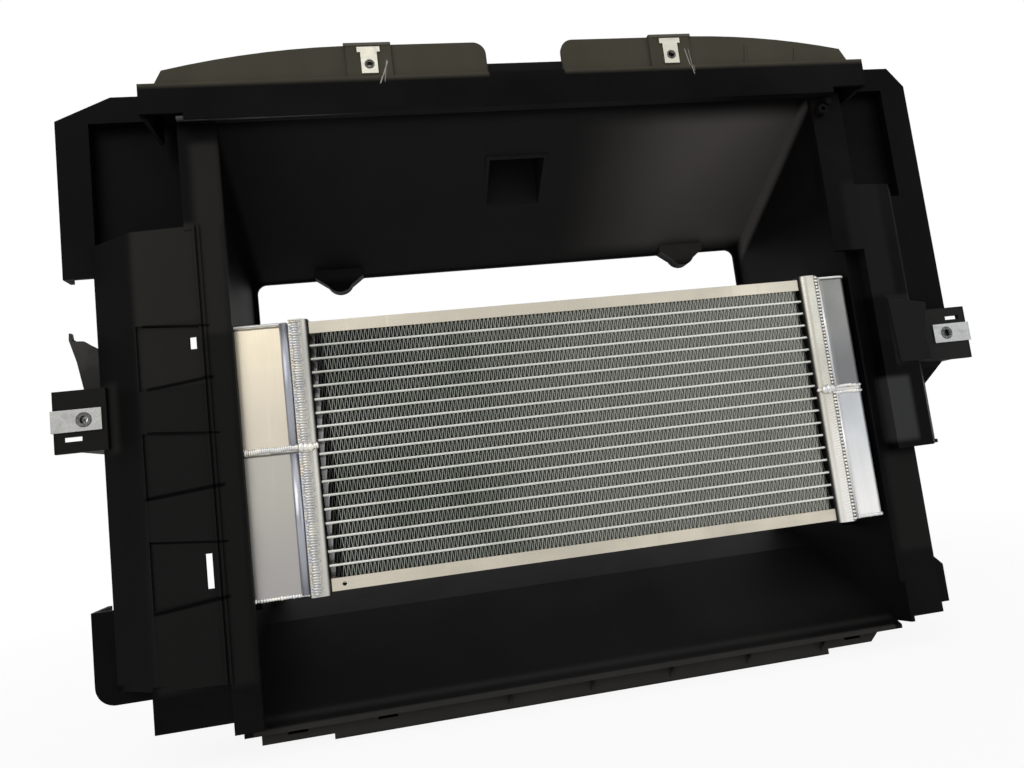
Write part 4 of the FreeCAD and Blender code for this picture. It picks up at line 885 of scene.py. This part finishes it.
@dataclass
class Core:
    """Tubes, folded fins and side plates."""

    tubes: int = 17
    left: float = -184.0
    width: float = 392.0
    depth: float = 42.0
    pitch: float = 10.0
    fin_height: float = 8.0
    fin_fold: float = 3.1
    fin_foil: float = 0.22
    fin_setback: float = 6.0
    fin_ahead: float = 1.0
    fin_after: float = 3.2
    fin_sway: float = 3.4
    steps: int = 8

    def strip_profile(self, recipe: Recipe) -> Value:
        """Make the foil's section: thin, as deep as the core, with four stations on each side."""
        values = recipe.inputs
        ring = recipe.node("GeometryNodeCurvePrimitiveCircle", {"mode": "RADIUS"}, {"Resolution": 8})
        index = recipe.node("GeometryNodeInputIndex")
        far = (index - 3.5).ramp(-0.01, 0.01)
        station = index + far * (7.0 - 2.0 * index)
        spot = recipe.node("ShaderNodeCombineXYZ", sockets={
            "X": values["Depth"] * (station / 3.0 - 0.5), "Y": values["Foil"] * (0.5 - far)})
        return recipe.node("GeometryNodeSetPosition", sockets={"Geometry": ring, "Position": spot})

    def fin_recipe(self) -> Recipe:
        """Build the tree that folds one strip of fins.

        The folds bend to the left and back again inside the core's depth, so that nobody looks
        straight through them.

        Returns:
            The tree.
        """
        recipe = Recipe("folded_fin", Start=Vector(), Fold=self.fin_fold * MM, Folds=10, Steps=self.steps,
                        Rise=self.fin_height * MM, Depth=self.depth * MM, Foil=self.fin_foil * MM,
                        Sway=self.fin_sway * MM)
        values = recipe.inputs
        count = values["Folds"] * values["Steps"] + 1.0
        line = recipe.node("GeometryNodeCurvePrimitiveLine", sockets={"Start": (0, 0, 0), "End": (1, 0, 0)})
        line = recipe.node("GeometryNodeResampleCurve", sockets={"Curve": line, "Count": count})
        index = recipe.node("GeometryNodeInputIndex")
        turn = index / values["Steps"]
        wave = (((turn - 0.25) * (2 * math.pi)).sine() * 1.22).lesser(1.0).greater(-1.0)
        half = (values["Rise"] - values["Foil"]) * 0.5
        spot = recipe.node("ShaderNodeCombineXYZ", sockets={
            "X": turn * values["Fold"], "Y": values["Depth"] * 0.5, "Z": wave * half})
        line = recipe.node("GeometryNodeSetPosition", sockets={"Geometry": line, "Position": spot})
        line = recipe.node("GeometryNodeSetCurveNormal", {"mode": "FREE"},
                           {"Curve": line, "Normal": (0, 1, 0)})
        mesh = recipe.node("GeometryNodeCurveToMesh", sockets={
            "Curve": line, "Profile Curve": self.strip_profile(recipe), "Fill Caps": True})
        where = recipe.node("GeometryNodeInputPosition")
        split = recipe.node("ShaderNodeSeparateXYZ", sockets={0: where}).socket.node
        third = values["Depth"] / 3.0
        middle = (Value(recipe, split.outputs["Y"]) - third).absolute().lesser(third) / third
        shift = recipe.node("ShaderNodeCombineXYZ", sockets={"X": (middle - 1.0) * values["Sway"]})
        moved = recipe.node("ShaderNodeVectorMath", {"operation": "ADD"}, {0: shift, 1: values["Start"]})
        mesh = recipe.node("GeometryNodeSetPosition", sockets={"Geometry": mesh, "Offset": moved})
        flat = recipe.node("GeometryNodeSetShadeSmooth", sockets={"Geometry": mesh, "Shade Smooth": False})
        recipe.close(flat)
        return recipe

    def build(self) -> None:
        """Fold the fins and put them in the place of the plain ones."""
        first = self.left + self.fin_setback - self.fin_ahead
        run = self.width - 2 * self.fin_setback + self.fin_ahead + self.fin_after
        finish = CoreAluminium("fin_foil", (0.56, 0.58, 0.53), (0.40, 0.43, 0.37), 0.42,
                               (first, first + run)).make()
        recipe = self.fin_recipe()
        folds = round(run / self.fin_fold)
        for row in range(self.tubes + 1):
            height = (row - self.tubes / 2) * self.pitch
            start = place(first, 0, height)
            piece = recipe.grow("folded_fin_%02d" % (row + 1), finish, Start=start, Folds=folds,
                                Fold=run / folds * MM)
            settle(piece, "fin_foil", "fin_%02d" % (row + 1))

    def dress(self) -> None:
        """Finish tubes and side plates."""
        tube = CoreAluminium("tube_metal", (0.72, 0.72, 0.68), (0.56, 0.57, 0.52), 0.36).make()
        for number in range(self.tubes):
            wear("tube_%02d" % (number + 1), tube)
        plate = SheetAluminium("plate_metal", (0.75, 0.69, 0.57), (0.58, 0.54, 0.45), Grain.ACROSS).make()
        for node in ("side_plate_top", "side_plate_bottom"):
            settle(softened("formed_" + node, node, plate, 0.35), "plate_metal", node)


@dataclass
class Tanks:
    """Headers, tank halves, baffles, hose necks and bungs."""

    seam: float = 5.0
    half_height: float = 98.0
    front: float = -2.0
    back: float = 44.0
    header_lines: dict[Side, float] = field(default_factory=lambda: {Side.LEFT: -198.0, Side.RIGHT: 222.0})
    header_width: float = 14.0
    header_front: float = -4.0
    ends: float = 249.0
    neck_x: float = -218.0
    neck_z: float = 58.0
    neck_radius: float = 16.0

    def half_finish(self, side: Side, half: Half) -> SheetAluminium:
        """Choose the finish of one tank half: the halves are lit and shaded copies of one metal, each with a
        painted reflection towards its lower end and painted shadow lines under its welds.
        """
        lit_and_shaded_looks = {
            (Side.LEFT, Half.UPPER): (
                (0.90, 0.82, 0.64), (0.82, 0.73, 0.56), (20.0, 92.0), (0.74, 0.67, 0.56)),
            (Side.LEFT, Half.LOWER): (
                (0.56, 0.54, 0.48), (0.50, 0.48, 0.44), (-95.0, -10.0), (0.44, 0.42, 0.41)),
            (Side.RIGHT, Half.UPPER): (
                (0.26, 0.262, 0.245), (0.21, 0.212, 0.20), (10.0, 90.0), (0.18, 0.18, 0.185)),
            (Side.RIGHT, Half.LOWER): (
                (0.58, 0.60, 0.62), (0.50, 0.52, 0.54), (-95.0, -5.0), (0.93, 0.92, 0.90)),
        }
        below = {Side.LEFT: (2.0, 2.6), Side.RIGHT: (0.0, 1.8)}[side]
        shadow_levels = (self.seam - below[0], self.half_height - below[1])
        colour, shade, painted_reflection_span, painted_reflection = lit_and_shaded_looks[side, half]
        name = "tank_metal_%s_%s" % (side.name.lower(), half.name.lower())
        seams = (self.header_lines[side],)
        return SheetAluminium(name, colour, shade, Grain.UPRIGHT, 0.33, painted_reflection_span, painted_reflection, seams, shadow_levels)

    def header_finish(self, side: Side) -> SheetAluminium:
        """Choose the finish of one header, rippled beside its weld, with painted shade in the hollow beside
        it: the left one darker, the right one painted brighter, with a painted reflection paling its lower
        part and a painted shadow line beside its weld.
        """
        seam = self.header_lines[side]
        name = "header_metal_" + side.name.lower()
        same = {"ripple_x": seam, "shaded_hollow_x": seam - side.value * self.header_width}
        if side is Side.LEFT:
            return SheetAluminium(name, (0.66, 0.64, 0.58), (0.50, 0.49, 0.45), Grain.UPRIGHT, 0.27,
                                  seams_x=(seam,), **same)
        return SheetAluminium(name, (0.76, 0.73, 0.64), (0.60, 0.58, 0.51), Grain.UPRIGHT, 0.27,
                              (-80.0, 10.0), (0.86, 0.84, 0.79), shadow_lines_x=(seam - 0.6,), **same)

    def dress(self) -> None:
        """Finish the sheet metal."""
        plain = SheetAluminium("tank_metal", (0.74, 0.72, 0.67), (0.58, 0.57, 0.55), Grain.UPRIGHT,
                               0.33).make()
        for side in Side:
            tag = side.name.lower()
            node = "header_" + tag
            header = self.header_finish(side).make()
            settle(softened("formed_" + node, node, header, 0.5), "tank_metal", node)
            for half in Half:
                wear("tank_%s_%s" % (tag, half.name.lower()), self.half_finish(side, half).make())
            wear("baffle_" + tag, plain)
        for half in ("upper", "lower"):
            node = "neck_" + half
            settle(softened("beaded_" + node, node, plain, 0.4), "tank_metal", node)
        wear("tank_bungs", plain)


@dataclass(frozen=True)
class SideWeld:
    """How one tank was welded to its header, in millimetres and shares."""

    side: Side
    fold_finish: bpy.types.Material
    fold_width: float
    band: bpy.types.Material
    inset: float
    half_width: float
    proud: float
    ripple: float
    length: float
    middle_rise: float
    middle_radius: float
    middle_ripple: float


@dataclass
class Welds:
    """Rippled beads along the tanks' joints and the folds beside them."""

    tanks: Tanks
    radius: float = 1.9
    ripple: float = 2.1
    fold_steps: int = 8
    corner: float = 6.0
    corner_steps: int = 6
    ring_steps: int = 48
    tree: Recipe | None = field(default=None, init=False)

    def recipe(self) -> Recipe:
        """Build the tree that lays ripple after ripple along a line."""
        recipe = Recipe("weld_bead", Radius=self.radius * MM, Proud=1.0, Ripple=self.ripple * MM, Length=0.85,
                        Variation=0.14, Seed=7)
        values = recipe.inputs
        line = recipe.node("GeometryNodeMeshToCurve", sockets={"Mesh": values["Geometry"]})
        line = recipe.node("GeometryNodeResampleCurve", {"mode": "LENGTH"},
                           {"Curve": line, "Length": values["Ripple"]})
        tangent = recipe.node("GeometryNodeInputTangent")
        turn = recipe.node("FunctionNodeAlignRotationToVector", {"axis": "Z"}, {"Vector": tangent})
        drop = recipe.node("GeometryNodeMeshUVSphere", sockets={"Segments": 12, "Rings": 6, "Radius": 1.0})
        vary = recipe.node("FunctionNodeRandomValue", {"data_type": "FLOAT"},
                           {2: 1.0 - values["Variation"], 3: 1.0 + values["Variation"],
                            "Seed": values["Seed"]}, out=1)
        size = recipe.node("ShaderNodeCombineXYZ", sockets={
            "X": values["Radius"] * vary, "Y": values["Radius"] * values["Proud"] * vary,
            "Z": values["Ripple"] * values["Length"]})
        laid = recipe.node("GeometryNodeInstanceOnPoints",
                           sockets={"Points": line, "Instance": drop, "Rotation": turn, "Scale": size})
        smooth = recipe.node("GeometryNodeSetShadeSmooth", sockets={"Geometry": laid, "Shade Smooth": True})
        recipe.close(smooth)
        return recipe

    def bead(self, name: str, points: Sequence[Point], finish: bpy.types.Material, **sizes: float) -> None:
        """Lay a bead.

        Args:
            name: The piece's name.
            points: Its line, in the core's millimetres.
            finish: Its material.
            **sizes: Inputs of the tree that differ from their first values.
        """
        mesh = bpy.data.meshes.new(name + "_line")
        edges = [(index, index + 1) for index in range(len(points) - 1)]
        mesh.from_pydata([place(*point) for point in points], edges, [])
        settle(self.tree.grow(name, finish, mesh, **sizes), "tank_metal")

    def rim(self, side: Side, seam_x: float, level: float) -> list[Point]:
        """Points along a tank's front edge, round its corner and back along its end."""
        out = side.value
        end = self.tanks.ends
        corner = self.corner
        points = [(seam_x + out * 2, self.tanks.front, level)]
        for step in range(self.corner_steps + 1):
            angle = math.pi / 2 * step / self.corner_steps
            points.append((out * (end - corner + corner * math.sin(angle)),
                           self.tanks.front + corner * (1 - math.cos(angle)), level))
        points.append((out * end, self.tanks.back - 6, level))
        return points

    def waver(self, points: list[Point], reach: float, step: float = 6.0) -> list[Point]:
        """Let a level line run a little up and down, as a hand weld does."""
        wavy = []
        for start, end in zip(points, points[1:]):
            count = max(1, round(math.dist(start, end) / step))
            for index in range(count):
                share = index / count
                x, y, z = (a + (b - a) * share for a, b in zip(start, end))
                wavy.append((x, y, z + reach * math.sin(0.33 * x + 0.21 * y)))
        wavy.append(points[-1])
        return wavy

    def fold(self, side: Side, half: Half, width: float, finish: bpy.types.Material) -> None:
        """Add the rounded fold that closes a tank half beside its header."""
        out = side.value
        tanks = self.tanks
        seam_x = tanks.header_lines[side]
        lip = tanks.front + 0.4
        section = [(seam_x + out * (width + 0.5), lip)]
        for step in range(self.fold_steps + 1):
            angle = math.pi * step / self.fold_steps
            across = 0.5 * width * (1 + math.cos(angle))
            section.append((seam_x + out * (across + 0.5), tanks.front - 2.3 * math.sin(angle) ** 0.8))
        section.append((seam_x + out * 0.5, lip))
        levels = sorted((tanks.seam + half.value * 3.0, half.value * (tanks.half_height - 0.5)))
        name = "fold_%s_%s" % (side.name.lower(), half.name.lower())
        rings = [[place(x, y, z) for x, y in section] for z in levels]
        settle(skin(name, rings, finish, smooth=range(1, len(section) - 2)), "tank_metal")

    def left(self) -> SideWeld:
        """How the left tank was welded: a wide, flat band on the header, darkened as painted shade, and a
        fold painted bluish grey as shade.
        """
        blue = SheetAluminium("fold_metal_left", (0.46, 0.47, 0.52), (0.36, 0.38, 0.44), Grain.UPRIGHT, 0.26)
        # The band's weld metal is darkened as painted shade.
        band = WeldMetal("weld_band", 0.68).make()
        return SideWeld(Side.LEFT, blue.make(), fold_width=6.3, band=band, inset=4.6, half_width=3.4,
                        proud=0.30, ripple=1.9, length=0.62, middle_rise=1.4, middle_radius=2.5,
                        middle_ripple=1.5)

    def right(self, finish: bpy.types.Material) -> SideWeld:
        """How the right tank was welded: a narrow bead of scales, and a fold painted bright as a highlight.
        """
        # The fold is painted pale as a highlight.
        pale = SheetAluminium("fold_metal_right", (0.88, 0.87, 0.84), (0.7, 0.7, 0.7), Grain.UPRIGHT, 0.26)
        return SideWeld(Side.RIGHT, pale.make(), fold_width=3.2, band=finish, inset=0.5, half_width=1.5,
                        proud=0.80, ripple=2.7, length=0.40, middle_rise=2.4, middle_radius=1.5,
                        middle_ripple=2.1)

    def seams(self, weld: SideWeld, finish: bpy.types.Material) -> None:
        """Lay the beads of one tank.

        Args:
            weld: How this side was welded.
            finish: The weld's material.
        """
        tanks = self.tanks
        high = tanks.half_height
        side = weld.side
        out = side.value
        tag = side.name.lower()
        seam_x = tanks.header_lines[side]
        face = tanks.header_front
        middle = tanks.seam
        for half in Half:
            self.fold(side, half, weld.fold_width, weld.fold_finish)
        front_x = seam_x - out * weld.inset
        self.bead("weld_%s_front" % tag, [(front_x, face, -high), (front_x, face, high)], weld.band,
                  Radius=weld.half_width * MM, Proud=weld.proud, Ripple=weld.ripple * MM,
                  Length=weld.length, Variation=0.30, Seed=3 + out)
        back = (seam_x + out * 0.7, tanks.back + 0.5)
        self.bead("weld_%s_back" % tag, [(*back, -high), (*back, high)], finish, Seed=5 + out)
        chain = [(seam_x - out * 13.0, -3.4, middle + 1.0), (seam_x - out * 2, -4.6, middle + 1.0)]
        chain += self.rim(side, seam_x, middle + weld.middle_rise)
        self.bead("weld_%s_middle" % tag, self.waver(chain, 0.5), finish, Radius=weld.middle_radius * MM,
                  Ripple=weld.middle_ripple * MM, Seed=11 + out)
        knot = [(seam_x - out * 2.0, face, middle + 1.2), (seam_x - out * 8.5, face + 0.4, middle + 0.6)]
        self.bead("weld_%s_knot" % tag, knot, finish, Radius=3.6 * MM, Ripple=3.0 * MM, Length=1.0,
                  Variation=0.22, Seed=41 + out)
        if side is Side.RIGHT:
            lower = self.waver(self.rim(side, seam_x, middle - 2.4), 0.3)
            self.bead("weld_right_middle_lower", lower, finish, Radius=1.6 * MM, Seed=17)
        rims = {Half.UPPER: (1.1, 0.9, 0.03), Half.LOWER: (1.5, 2.0, 0.2)}
        for half, (radius, ripple, variation) in rims.items():
            line = self.rim(side, seam_x, half.value * (high - 0.6))
            self.bead("weld_%s_%s_rim" % (tag, half.name.lower()), line, finish, Radius=radius * MM,
                      Ripple=ripple * MM, Variation=variation, Seed=21 + out)

    def build(self) -> None:
        """Lay every bead that shows."""
        self.tree = self.recipe()
        finish = WeldMetal().make()
        tanks = self.tanks
        for weld in (self.left(), self.right(finish)):
            self.seams(weld, finish)
        reach = tanks.neck_radius + 0.6
        for half in Half:
            ring = []
            for step in range(self.ring_steps + 1):
                angle = 2 * math.pi * step / self.ring_steps
                ring.append((tanks.neck_x + reach * math.cos(angle), tanks.back + 0.4,
                             half.value * tanks.neck_z + reach * math.sin(angle)))
            self.bead("weld_neck_" + half.name.lower(), ring, finish, Seed=31)


@dataclass
class Duct:
    """The moulding with its clip nuts, screws and seals."""

    edge: float = 0.7
    clip_edge: float = 0.22
    lip: tuple[Corner, Corner] = ((-261.0, 250.6), (244.0, 252.4))
    lip_radius: float = 2.1
    knobs: tuple[tuple[float, float, float, float], ...] = (
        (-260.3, 253.2, 3.2, 0.0), (253.4, 244.3, 2.8, 0.0), (247.5, 237.7, 4.4, 1.9))
    flap_ribs: tuple[Point, ...] = ((183.6, 186.4, 295.0), (227.0, 230.0, 291.0))
    side_hole: tuple[float, float, float] = (347.0, 14.7, 44.0)
    top_hole: tuple[float, float, float] = (120.0, -19.3, 287.0)
    pad_strip: tuple[float, float] = (103.5, 138.5)
    pad_edge: tuple[float, float] = (302.4, 304.9)
    pad_depths: tuple[float, float] = (-18.7, -17.4)
    knob_front: float = -15.0
    knob_length: float = 9.0
    knob_core: float = 0.02
    lip_depth: float = -17.8
    rib_foot: float = 276.0
    rib_half: float = 0.9
    rib_depths: tuple[float, float] = (-16.9, -15.5)
    ear_depths: tuple[float, float] = (26.4, 30.4)
    body_depths: tuple[float, float] = (-6.0, 19.0)
    ear: tuple[Corner, ...] = (
        (-358.6, 110.4), (-356.8, 110.2), (-356.0, 104.2), (-348.5, 103.6), (-344.2, 100.4), (-337.5, 96.2),
        (-337.5, 65.6), (-350.0, 65.6), (-354.2, 88.4), (-358.9, 105.2))
    body: tuple[Corner, ...] = (
        (281.5, 76.0), (316.0, 69.0), (311.5, 42.0), (313.5, 21.0), (284.0, 21.0))

    def build(self) -> None:
        """Round the moulding's edges and add its small bosses and ribs."""
        plastic = GrainedPlastic().make()
        # The rounded edges take a painted highlight.
        shell = softened("moulded_duct", "duct_shell", plastic, self.edge, edge=LighterPlastic().make())
        settle(shell, "duct_plastic", "duct_shell")
        for number, (x, z, radius, bore) in enumerate(self.knobs):
            inner = bore or self.knob_core
            far = self.knob_length
            rings = [(inner, 0.0), (radius - 0.5, 0.0), (radius, 0.6), (radius, far), (inner, far)]
            knob = turned("lip_knob_%d" % (number + 1), place(x, self.knob_front, z), rings, plastic)
            settle(knob, "duct_plastic")
        # The rolled lip is painted lighter, as a highlight.
        self.roll_lip(LighterPlastic("lip_plastic", (0.010, 0.010, 0.0098), (0.050, 0.048, 0.043), 0.3).make())
        for number, (low_x, high_x, top) in enumerate(self.flap_ribs):
            half = self.rib_half
            outline = ((low_x - half, self.rib_foot), (low_x + half, self.rib_foot),
                       (high_x + half, top), (high_x - half, top))
            rib = plate("flap_rib_%d" % (number + 1), outline, *self.rib_depths, plastic, 0.3)
            settle(rib, "duct_plastic")
        # The ear's plate is lighter than the rest of the moulding.
        worn = LighterPlastic("lighter_plastic", (0.018, 0.0175, 0.0165), (0.040, 0.038, 0.034), 0.1).make()
        settle(plate("lighter_ear", self.ear, *self.ear_depths, worn), "duct_plastic")
        settle(plate("bracket_body", self.body, *self.body_depths, plastic, 1.2), "duct_plastic")
        # The pad's top edges are painted as lit strips.
        pale = LighterPlastic("lit_pad_plastic", (0.085, 0.080, 0.070), (0.15, 0.145, 0.13), 0.1).make()
        near, far = self.pad_strip
        low, high = self.pad_edge
        for side in Side:
            outline = [(side.value * x, z) for x, z in ((near, low), (far, low), (far, high), (near, high))]
            strip = plate("pad_edge_" + side.name.lower(), outline, *self.pad_depths, pale)
            settle(strip, "duct_plastic")

    def roll_lip(self, finish: bpy.types.Material) -> None:
        """Roll the band's lower edge into a thin round lip."""
        line = bpy.data.curves.new("rolled_lip", "CURVE")
        line.dimensions = "3D"
        line.bevel_depth = self.lip_radius * MM
        line.bevel_resolution = 4
        line.use_fill_caps = True
        run = line.splines.new("POLY")
        run.points.add(1)
        for point, (x, z) in zip(run.points, self.lip):
            point.co = (*place(x, self.lip_depth, z), 1.0)
        rod = bpy.data.objects.new("rolled_lip_line", line)
        bpy.context.scene.collection.objects.link(rod)
        mesh = bpy.data.meshes.new_from_object(rod.evaluated_get(bpy.context.evaluated_depsgraph_get()))
        bpy.data.objects.remove(rod)
        for face in mesh.polygons:
            face.use_smooth = len(face.vertices) == 4
        mesh.materials.clear()
        mesh.materials.append(finish)
        settle(add_piece("rolled_lip", mesh), "duct_plastic")

    def dress(self) -> None:
        """Finish clip nuts, screws, washers and foam."""
        # Dark rings round the clip nuts' holes, painted as the holes' shade.
        dark = PlatedSteel("hole_shade_steel", (0.030, 0.028, 0.026), 0.45).make()
        rows = (("side", (0.36, 0.36, 0.35), self.side_hole, 3.0, 5.6),
                ("top", (0.73, 0.70, 0.58), self.top_hole, 2.5, 3.9))
        for row, colour, (x, y, z), bore, rim in rows:
            spring = PlatedSteel("spring_steel_" + row, colour, 0.32).make()
            for side in Side:
                tag = side.name.lower()
                node = "%s_clip_nut_%s" % (row, tag)
                settle(softened("pressed_" + node, node, spring, self.clip_edge), "spring_steel", node)
                rings = [(bore, -0.5), (rim - 0.6, -0.5), (rim, 0.1), (bore, 0.1)]
                collar = turned("%s_thread_%s" % (row, tag), place(side.value * x, y, z), rings, dark)
                settle(collar, "spring_steel")
        screw = PlatedSteel("zinc_steel", (0.62, 0.62, 0.58), 0.34).make()
        settle(softened("flanged_screws", "mounting_screws", screw, 0.35), "zinc_steel", "mounting_screws")
        wear("isolator_washers", SoftSeal("rubber", (0.010, 0.010, 0.010), 900.0, 0.00005).make())
        foam = SoftSeal("foam", (0.016, 0.016, 0.017), 1300.0, 0.0002).make()
        for side in ("left", "right"):
            wear("foam_seal_" + side, foam)


# Studio


@dataclass
class Studio:
    """Pale floor, soft lamps and the camera."""

    eye: Point = (-126.7, -552.6, -24.4)
    ahead: Point = (0.1575, 0.9816, 0.1082)
    up: Point = (0.1006, -0.1249, 0.9871)
    lens: float = 26.02
    sensor: float = 36.0
    floor_half: float = 40.0
    lamps: tuple[tuple[str, Point, Point, float, Colour], ...] = (
        ("key", (-1.5, -2.2, 1.8), (0.0, 0.0, 0.25), 32.0, (1.0, 0.98, 0.94)),
        ("fill", (2.0, -2.0, 0.6), (0.0, 0.0, 0.2), 13.0, (0.94, 0.97, 1.0)),
        ("top", (0.2, 0.4, 2.4), (0.0, 0.0, 0.3), 12.0, (1.0, 0.98, 0.95)))
    lamp_size: float = 2.2

    def floor(self) -> None:
        """Lay a wide pale floor that keeps the object's shadow and is white far out."""
        mesh = bpy.data.meshes.new("floor")
        size = self.floor_half
        mesh.from_pydata([(-size, -size, 0), (size, -size, 0), (size, size, 0), (-size, size, 0)], [],
                         [(0, 1, 2, 3)])
        floor = add_piece("floor", mesh)
        paint = Paint("pale_floor")
        diffuse = paint.node("ShaderNodeBsdfDiffuse", sockets={"Color": (0.86, 0.86, 0.86, 1.0)})
        glow = paint.node("ShaderNodeEmission", sockets={"Color": (1.0, 1.0, 1.0, 1.0), "Strength": 1.0})
        path = paint.node("ShaderNodeLightPath").socket.node
        seen = Value(paint, path.outputs["Is Camera Ray"]) + 0.6 * Value(paint, path.outputs["Is Glossy Ray"])
        reach = paint.node("ShaderNodeVectorMath", {"operation": "LENGTH"}, {0: paint.where}, out="Value")
        far = reach.ramp(0.45, 1.2)
        both = paint.node("ShaderNodeMixShader", sockets={0: seen * (0.90 + 0.10 * far), 1: diffuse, 2: glow})
        paint.node_output(both)
        mesh.materials.append(paint.material)

    def world(self) -> None:
        """Surround the object with soft grey light and a white background."""
        world = bpy.data.worlds.new("studio")
        world.use_nodes = True
        bpy.context.scene.world = world
        maker = Maker(world.node_tree)
        world.node_tree.nodes.clear()
        path = maker.node("ShaderNodeLightPath").socket.node
        seen = Value(maker, path.outputs["Is Camera Ray"]) + Value(maker, path.outputs["Is Transmission Ray"])
        sky = maker.node("ShaderNodeTexCoord", out="Generated")
        split = maker.node("ShaderNodeSeparateXYZ", sockets={0: sky}).socket.node
        behind = Value(maker, split.outputs["Y"]).ramp(-0.3, 0.8)
        above = Value(maker, split.outputs["Z"]).ramp(-0.1, 0.9)
        mirrored = Value(maker, path.outputs["Is Glossy Ray"]) * (0.30 + 0.70 * behind.greater(above))
        strength = seen.greater(mirrored).greater(0.50)
        light = maker.node("ShaderNodeBackground",
                           sockets={"Color": (1.0, 1.0, 1.0, 1.0), "Strength": strength})
        output = world.node_tree.nodes.new("ShaderNodeOutputWorld")
        world.node_tree.links.new(light.socket, output.inputs["Surface"])

    def lamp(self, name: str, spot: Point, aim: Point, power: float, warm: Colour) -> None:
        """Hang one soft lamp.

        Args:
            name: The lamp's name.
            spot: Its place, in metres.
            aim: The point it looks at, in metres.
            power: Its power, in watts.
            warm: Its colour.
        """
        light = bpy.data.lights.new(name, "AREA")
        light.size = self.lamp_size
        light.energy = power
        light.color = warm
        lamp = bpy.data.objects.new(name, light)
        lamp.location = spot
        lamp.rotation_euler = (Vector(aim) - Vector(spot)).to_track_quat("-Z", "Y").to_euler()
        bpy.context.scene.collection.objects.link(lamp)

    def camera(self) -> None:
        """Set the camera where the photograph was taken."""
        data = bpy.data.cameras.new("camera")
        data.lens = self.lens
        data.sensor_width = self.sensor
        data.clip_start = 0.02
        camera = bpy.data.objects.new("camera", data)
        ahead = Vector(self.ahead).normalized()
        right = ahead.cross(Vector(self.up)).normalized()
        up = right.cross(ahead)
        turn = Matrix((right, up, -ahead)).transposed().to_4x4()
        camera.matrix_world = Matrix.Translation(place(*self.eye)) @ turn
        bpy.context.scene.collection.objects.link(camera)
        bpy.context.scene.camera = camera

    def build(self) -> None:
        """Set up floor, light and camera."""
        self.floor()
        self.world()
        for lamp in self.lamps:
            self.lamp(*lamp)
        self.camera()
        bpy.context.scene.view_settings.view_transform = "Standard"


def main() -> None:
    """Build the classes in order and report each piece."""
    logging.basicConfig(level=logging.INFO, format="%(name)s: %(message)s")
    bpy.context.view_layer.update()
    core = Core()
    core.build()
    core.dress()
    tanks = Tanks()
    tanks.dress()
    Welds(tanks=tanks).build()
    duct = Duct()
    duct.build()
    duct.dress()
    Studio().build()


if __name__ == "__main__":
    main()
